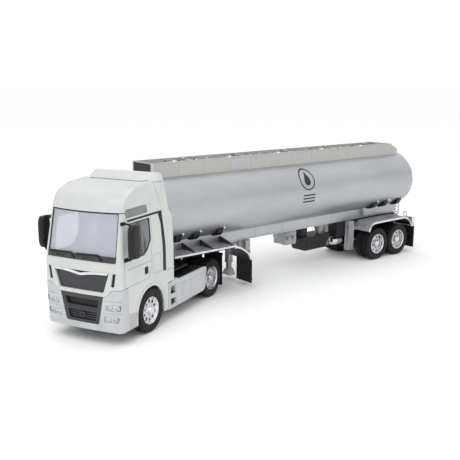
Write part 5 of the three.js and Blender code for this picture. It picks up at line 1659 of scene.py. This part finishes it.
def landing_leg(side):
    """Telescopic leg: square outer tube, inner tube with pin holes, and a pivoting foot."""
    x = side * LEG_X
    outer_tube = box((x - 3, x + 3), (LEG_Y - 3, LEG_Y + 3), (18, WEB_BOTTOM_Z - GAP))
    collar = box((x - 3.3, x + 3.3), (LEG_Y - 3.3, LEG_Y + 3.3), (18, 19.6))
    inner_tube = box((x - 2.2, x + 2.2), (LEG_Y - 2.2, LEG_Y + 2.2), (8, 19))
    foot = front_profile(smooth_line([(x - 6, 4.4), (x - 6, 5.8), (x - 4, 8.2), (x - 2.4, 11),
                                      (x + 2.4, 11), (x + 4, 8.2), (x + 6, 5.8), (x + 6, 4.4)], 2),
                         LEG_Y - 4, LEG_Y + 4)
    body = join(outer_tube, collar, inner_tube, foot)
    join(body, rod("y", 0.9, LEG_Y - 4.4, LEG_Y + 4.4, (x, 9.2), 16),
         rod("y", 1.2, LEG_Y - 3.6, LEG_Y + 3.6, (x, 40), 20))
    for z in (11.8, 14.6, 17.4):
        cut(body, rod("x", 0.5, x - 4, x + 4, (LEG_Y, z), 12))
    return body


legs = [landing_leg(side) for _, side in SIDES]
brace = box((-LEG_X, LEG_X), (LEG_Y - 1.2, LEG_Y + 1.2), (27, 30))
shaft = rod("x", 0.8, -LEG_X - 4.5, LEG_X + 6, (LEG_Y, 36), 16)
gearboxes = [side_profile(rounded(rectangle((LEG_Y - 9, LEG_Y + 7), (37, WEB_BOTTOM_Z - GAP)), 1.0),
                          side * 9, side * 12.4) for _, side in SIDES]
trailer_piece("landing_legs", join(*legs, *gearboxes, brace, shaft), GREY, "landing_gear", bevel=0.22)


# ------------------------------------------------------------------ running gear of the trailer
BEAM_X = (9.4, 13.0)
BEAM_Y = (256.0, 338.0)


def carriage():
    """Two side beams, cross members, axle hangers and leaf springs with their U-bolts."""
    body = box((-BEAM_X[1], BEAM_X[1]), BEAM_Y, (44.6, WEB_BOTTOM_Z - GAP))
    for side in (1, -1):
        inner, outer = (side * x for x in BEAM_X)
        beam = box((inner, outer), BEAM_Y, (27, 45))
        join(body, beam)
        for y in TANDEM_Y:
            hanger = [(y - 5, 28), (y - 5, 16.6), (y - 3, 14.6), (y + 3, 14.6), (y + 5, 16.6), (y + 5, 28)]
            join(body, side_profile(hanger, inner, outer))
            spring = smooth_line([(y - 16, 26.6), (y - 8, 24.2), (y, 23.2), (y + 8, 24.2), (y + 16, 26.6)],
                                 4)
            leaf = spring + [(a, b + 2.4) for a, b in reversed(spring)]
            join(body, side_profile(leaf, inner - side * 0.2, outer + side * 0.4))
            for dy in (-3.6, 3.6):
                join(body, rod("z", 0.6, 21.5, 29, (outer + side * 0.4, y + dy), 12))
    for y in (262, 292, 330):
        join(body, box((-10, 10), (y, y + 4), (29, 42)))
    for y in TANDEM_Y:
        cut(body, rod("x", AXLE_BORE_R, -20, 20, (y, TYRE_R), 24))
    return body


trailer_piece("bogie_beams", carriage(), BLACK, "axle_carriage", bevel=0.2)


def smooth_fender(rise, lift_in=0.0):
    """The fender's long outline: a rounded front, a flat back and a rounded tail."""
    front = smooth_line([(258.3 + lift_in, 36 + rise * 0.3), (259.8 + lift_in, 39.4 + rise * 0.6),
                         (262.6, 42.8 + rise * 0.8), (266.4, 45.2 + rise), (271, FENDER_Z + rise)], 4)
    tail = smooth_line([(326, FENDER_Z + rise), (331, 44.8 + rise), (335, 42.4 + rise * 0.8),
                        (338.8, 38.8 + rise * 0.5), (341.7 - lift_in, 35 + rise * 0.3)], 4)
    return front + tail


def fender(side):
    inner, outer = side * (BEAM_X[1] + 0.1), side * SIDE_X
    top = smooth_fender(0)
    body = side_profile(top + list(reversed(smooth_fender(-1.4, 1.3))), inner, outer)
    ridge_top = smooth_fender(0.4)
    ridge = ridge_top + list(reversed(smooth_fender(-0.8, 0.4)))
    for k in range(10):
        x = 14.6 + 2.2 * k
        join(body, side_profile(ridge, side * x, side * (x + 0.7)))
    return body


for label, side in SIDES:
    inner = side * (BEAM_X[1] + 0.2)
    trailer_piece(f"fender_{label}", fender(side), GREY, f"rear_fender_{label}", bevel=0.12)
    # A bright strip along the fender's outer edge: painted highlight.
    edge = smooth_fender(0.3) + list(reversed(smooth_fender(-2.0, 1.8)))
    trailer_piece(f"fender_edge_highlight_{label}", side_profile(edge, side * (SIDE_X - 0.9), side * (SIDE_X + 0.05)),
                  EDGE_HIGHLIGHT, bevel=0.18)
    # A black sheet just under the fender: painted shade on its underside.
    underside_shade = list(smooth_fender(-1.6, 1.4)) + list(reversed(smooth_fender(-2.3, 2.1)))
    trailer_piece(f"fender_underside_shade_{label}", side_profile(underside_shade, inner, side * (SIDE_X - 1.1)), BLACK)
    stay = join(box((inner, side * 20), (243, 252), (13, WEB_BOTTOM_Z - GAP)),
                box((inner, side * 20), (251, 262), (36.6, 40)))
    cut(stay, box((side * 14.6, side * 18.6), (242, 243.8), (16, 44)),
        box((side * 19.4, side * 21), (244.4, 250.6), (15, 45)))
    trailer_piece(f"fender_stay_{label}", stay, GREY, bevel=0.25)


BUMPER_Y = (342.6, 348.2)
beam_outline = rounded(rectangle(BUMPER_Y, (32, 36)), 0.9)
crossbeam = join(side_profile(beam_outline, -SIDE_X, SIDE_X),
                 box((-12, 12), (BEAM_Y[1] + GAP, BUMPER_Y[1] - 1), (32, 44)))
for k in range(7):
    cut(crossbeam, box((-10.5 + 3.2 * k, -9.3 + 3.2 * k), (BUMPER_Y[1] - 1.4, BUMPER_Y[1]), (37, 43)))
trailer_piece("rear_bumper_beam", crossbeam, GREY, "rear_crossbeam", "silver_plastic", bevel=0.2)
for label, side in SIDES:
    flap = ribbed_flap(side * 17, side * SIDE_X, BUMPER_Y[1] - 1.4, BUMPER_Y[1], 4.6, 32.6, 1)
    trailer_piece(f"rear_flap_{label}", flap, FLAP, bevel=0.2)
    end_cap = side_profile(rounded(rectangle((BUMPER_Y[0] - 0.2, BUMPER_Y[1]), (31.6, 36.3)), 0.9),
                           side * 35.9, side * (SIDE_X + 0.05))
    trailer_piece(f"bumper_end_{label}", end_cap, ENAMEL, bevel=0.3)
    housing = side_profile(rounded(rectangle((BUMPER_Y[0], BUMPER_Y[1] - 0.7), (36.35, 43.5)), 1.2),
                           side * 24, side * 37)
    bezels = [turned("y", [(1.75, 347.3), (2.3, 347.3), (2.3, 348.0), (2.0, 348.2), (1.75, 348.0)],
                     (side * x, 0, 39.9), 36)
              for x in (26.6, 30.7, 34.8)]
    trailer_piece(f"tail_housing_{label}", join(housing, *bezels), CHROME, f"tail_light_{label}", bevel=0.2)
    for k, (x, look, slot) in enumerate(((26.6, RED, "lamp_red"), (30.7, LENS, "lamp_clear"),
                                         (34.8, RED, "lamp_red"))):
        lens = turned("y", [(0, 347.0), (1.8, 347.0), (1.8, 347.8), (1.2, 348.1), (0, 348.2)],
                      (side * x, 0, 39.9), 32)
        trailer_piece(f"tail_lens_{label}_{k + 1}", lens, look, slot=slot)
    hook = tube_along([(side * 22, 345.4, z) for z in (43.6, 46)] +
                      [(side * (22 + 2.3 - 2.3 * math.cos(a)), 345.4, 46 + 2.9 * math.sin(a))
                       for a in (math.pi * k / 10 for k in range(1, 10))] + [(side * 26.6, 345.4, 45),
                           (side * 26.6, 345.4, 43.4)],
                      0.6, 12)
    trailer_piece(f"rear_hook_{label}", hook, CHROME)


def outlet(x):
    """Discharge pipe with a flange, a dust cap and its two cam levers."""
    pipe = turned("y", [(0, 335), (1.8, 335), (1.8, 340), (2.5, 340), (2.5, 341), (1.9, 341.2),
                        (1.9, 342.6), (2.3, 342.8), (2.3, 344), (0, 344)], (x, 0, 52), 40)
    levers = [box((x + s * 2.1, x + s * 2.7), (340.6, 343.6), (51.4, 52.6)) for s in (1, -1)]
    return join(pipe, *levers)


trailer_piece("discharge_pipes", join(outlet(6), outlet(-6)), CHROME, bevel=0.08)


def rear_ladder():
    """Short ladder at the left of the tail: two stiles and three rungs."""
    stiles = [tube_along([(x, 344.4, 44.2), (x, 344.4, 56), (x, 343.2, 58.4), (x, 340, 60.4)], 0.6,
                         12) for x in (9.6, 14.6)]
    rungs = [rod("x", 0.5, 9.6, 14.6, (344.4, z), 12) for z in (46.5, 50, 53.5)]
    return join(*stiles, *rungs)


trailer_piece("rear_ladder", rear_ladder(), CHROME)


# ------------------------------------------------------------------ gear slung under the sub-frame
HUNG_Z = WEB_BOTTOM_Z - GAP


def valve_block():
    """Valve chest with four flanged stubs and a hand lever on each side."""
    body = side_profile(rounded(rectangle((148, 165), (31, HUNG_Z)), 1.2), -9, 9)
    parts = []
    for side in (1, -1):
        for y in (152, 160):
            parts.append(turned("x", [(0, side * 8.6), (2.6, side * 8.6), (2.6, side * 9.6),
                                      (1.7, side * 9.8), (1.7, side * 11.2), (2.3, side * 11.4),
                                      (2.3, side * 12.2), (0, side * 12.2)],
                                (0, y, 38.5), 32))
        parts.append(box((side * 8.8, side * 9.8), (149.4, 163.6), (43, 45)))
    return join(body, *parts)


def pump_case():
    """Pump casing with a sloped belly, stiffening ribs and its hanger."""
    body = side_profile([(171, 35.6), (221, 35.6), (213, 20), (179, 20)], -10, 10)
    for k in range(5):
        y = 182 + 7 * k
        join(body, side_profile(rectangle((y, y + 1.2), (20.4, 35)), -10.35, 10.35))
    join(body, box((-10.6, 10.6), (170.6, 221.4), (34.4, 35.8)))
    return join(body, box((-6, 6), (176, 186), (35, HUNG_Z)))


trailer_piece("valve_chest", valve_block(), GREY, "valve_block", bevel=0.25)
trailer_piece("pump_casing", pump_case(), BLACK, "pump_case", bevel=0.25)
funnel = turned("z", [(0, 35.2), (3.2, 35.2), (3.4, 36.2), (4.2, 40), (6.4, 44.6), (7.6, HUNG_Z - 0.4),
                      (8, HUNG_Z), (0, HUNG_Z)], (3.5, 208, 0), 48)
trailer_piece("filling_funnel", funnel, GREY)
locker = side_profile(rounded(rectangle((226, 241.5), (30, HUNG_Z)), 1.0), 3, 15)
lid_line = cut(box((14.75, 16), (227, 240.5), (31.4, 45)), box((14, 17), (227.4, 240.1), (31.8, 44.6)))
cut(locker, lid_line)
join(locker, box((14.8, 15.4), (231.5, 236), (32.6, 34)))
trailer_piece("tool_locker", locker, BLACK, "tool_box", bevel=0.25)
vessel = turned("y", [(0, 224), (2.4, 224.2), (3.8, 225), (4.6, 226.8), (4.6, 230), (4.75, 230.2),
                      (4.75, 231.4), (4.6, 231.6), (4.6, 235.4), (4.75, 235.6), (4.75, 236.8), (4.6, 237),
                      (4.6, 238.8), (3.8, 240.6), (2.4, 241.3), (0, 241.5)], (8.5, 0, 24.6), 56)
trailer_piece("air_vessel", vessel, CHROME, "air_tank", "silver_plastic")
air_line = tube_along([(8.5, 224.4, 24.6), (8.5, 221.6, 24.8), (8.2, 220.4, 26.4), (7.4, 219.6, 29),
                       (6.4, 218.4, 32.6)],
                      0.55, 10)
trailer_piece("air_pipe", air_line, BLACK)


# ------------------------------------------------------------------ floor, light and camera
def studio_floor():
    """Pale seamless paper: matt off-white with a faint fibre."""
    reach = 40.0
    corners = [(-reach, -reach, 0), (reach, -reach, 0), (reach, reach, 0), (-reach, reach, 0)]
    item = new_object("studio_floor", corners, [(0, 1, 2, 3)])
    item.data.materials.append(finish("seamless_paper", "#FBFBFA", "#FFFFFF", (0.8, 0.9), 3.0, 1.0, 0.01))


def soft_light(name, place, size, power, colour="#FFFFFF"):
    """A rectangular soft box that faces the middle of the model; its place is in metres."""
    light = bpy.data.lights.new(name, "AREA")
    light.shape = "RECTANGLE"
    light.size, light.size_y = size
    light.energy = power
    light.color = linear(colour)[:3]
    lamp = bpy.data.objects.new(name, light)
    bpy.context.scene.collection.objects.link(lamp)
    lamp.location = place
    lamp.rotation_euler = (Vector((0, 0, 0.06)) - Vector(place)).to_track_quat("-Z", "Y").to_euler()


def pale_world():
    """A white room with a pale grey band above the horizon, so that metal shows its form."""
    world = bpy.data.worlds.new("pale_room")
    world.use_nodes = True
    tree = world.node_tree
    tree.nodes.clear()
    place = add_node(tree, "ShaderNodeTexCoord").outputs["Generated"]
    split = add_node(tree, "ShaderNodeSeparateXYZ", {"Vector": place})
    ramp = add_node(tree, "ShaderNodeValToRGB", {"Fac": split.outputs["Z"]})
    stops = [(0.0, "#FFFFFF"), (0.13, "#FFFFFF"), (0.17, "#D3D6DA"), (0.34, "#E0E2E5"), (0.5, "#FFFFFF")]
    while len(ramp.color_ramp.elements) < len(stops):
        ramp.color_ramp.elements.new(0.5)
    for element, (position, colour) in zip(ramp.color_ramp.elements, stops):
        element.position = position
        element.color = linear(colour)
    background = add_node(tree, "ShaderNodeBackground", {"Color": ramp.outputs["Color"], "Strength": 1.06})
    output = add_node(tree, "ShaderNodeOutputWorld")
    tree.links.new(background.outputs["Background"], output.inputs["Surface"])
    bpy.context.scene.world = world


def studio_camera():
    """A short telephoto low in front of the cab's left corner."""
    data = bpy.data.cameras.new("camera")
    data.lens = 54.09
    data.sensor_width = 36.0
    camera = bpy.data.objects.new("camera", data)
    bpy.context.scene.collection.objects.link(camera)
    place = TRAILER @ Vector((537.65, -380.10, 206.45))
    yaw, pitch = -0.867586, -0.209298
    ahead = Vector((math.cos(pitch) * math.sin(yaw), math.cos(pitch) * math.cos(yaw), math.sin(pitch)))
    across = ahead.cross(Vector((0, 0, 1))).normalized()
    up = across.cross(ahead)
    roll = 0.003743
    right = across * math.cos(roll) + up * math.sin(roll)
    top = up * math.cos(roll) - across * math.sin(roll)
    camera.matrix_world = Matrix.Translation(place) @ Matrix((right, top, -ahead)).transposed().to_4x4()
    bpy.context.scene.camera = camera


studio_floor()
pale_world()
soft_light("key_box", (0.36, -0.56, 0.66), (0.5, 0.5), 1.7)
soft_light("top_box", (-0.1, 0.1, 1.2), (0.6, 1.4), 1.2)
soft_light("fill_box", (1.2, 0.5, 0.5), (0.8, 0.8), 0.3)
studio_camera()
bpy.context.scene.view_settings.view_transform = "Standard"
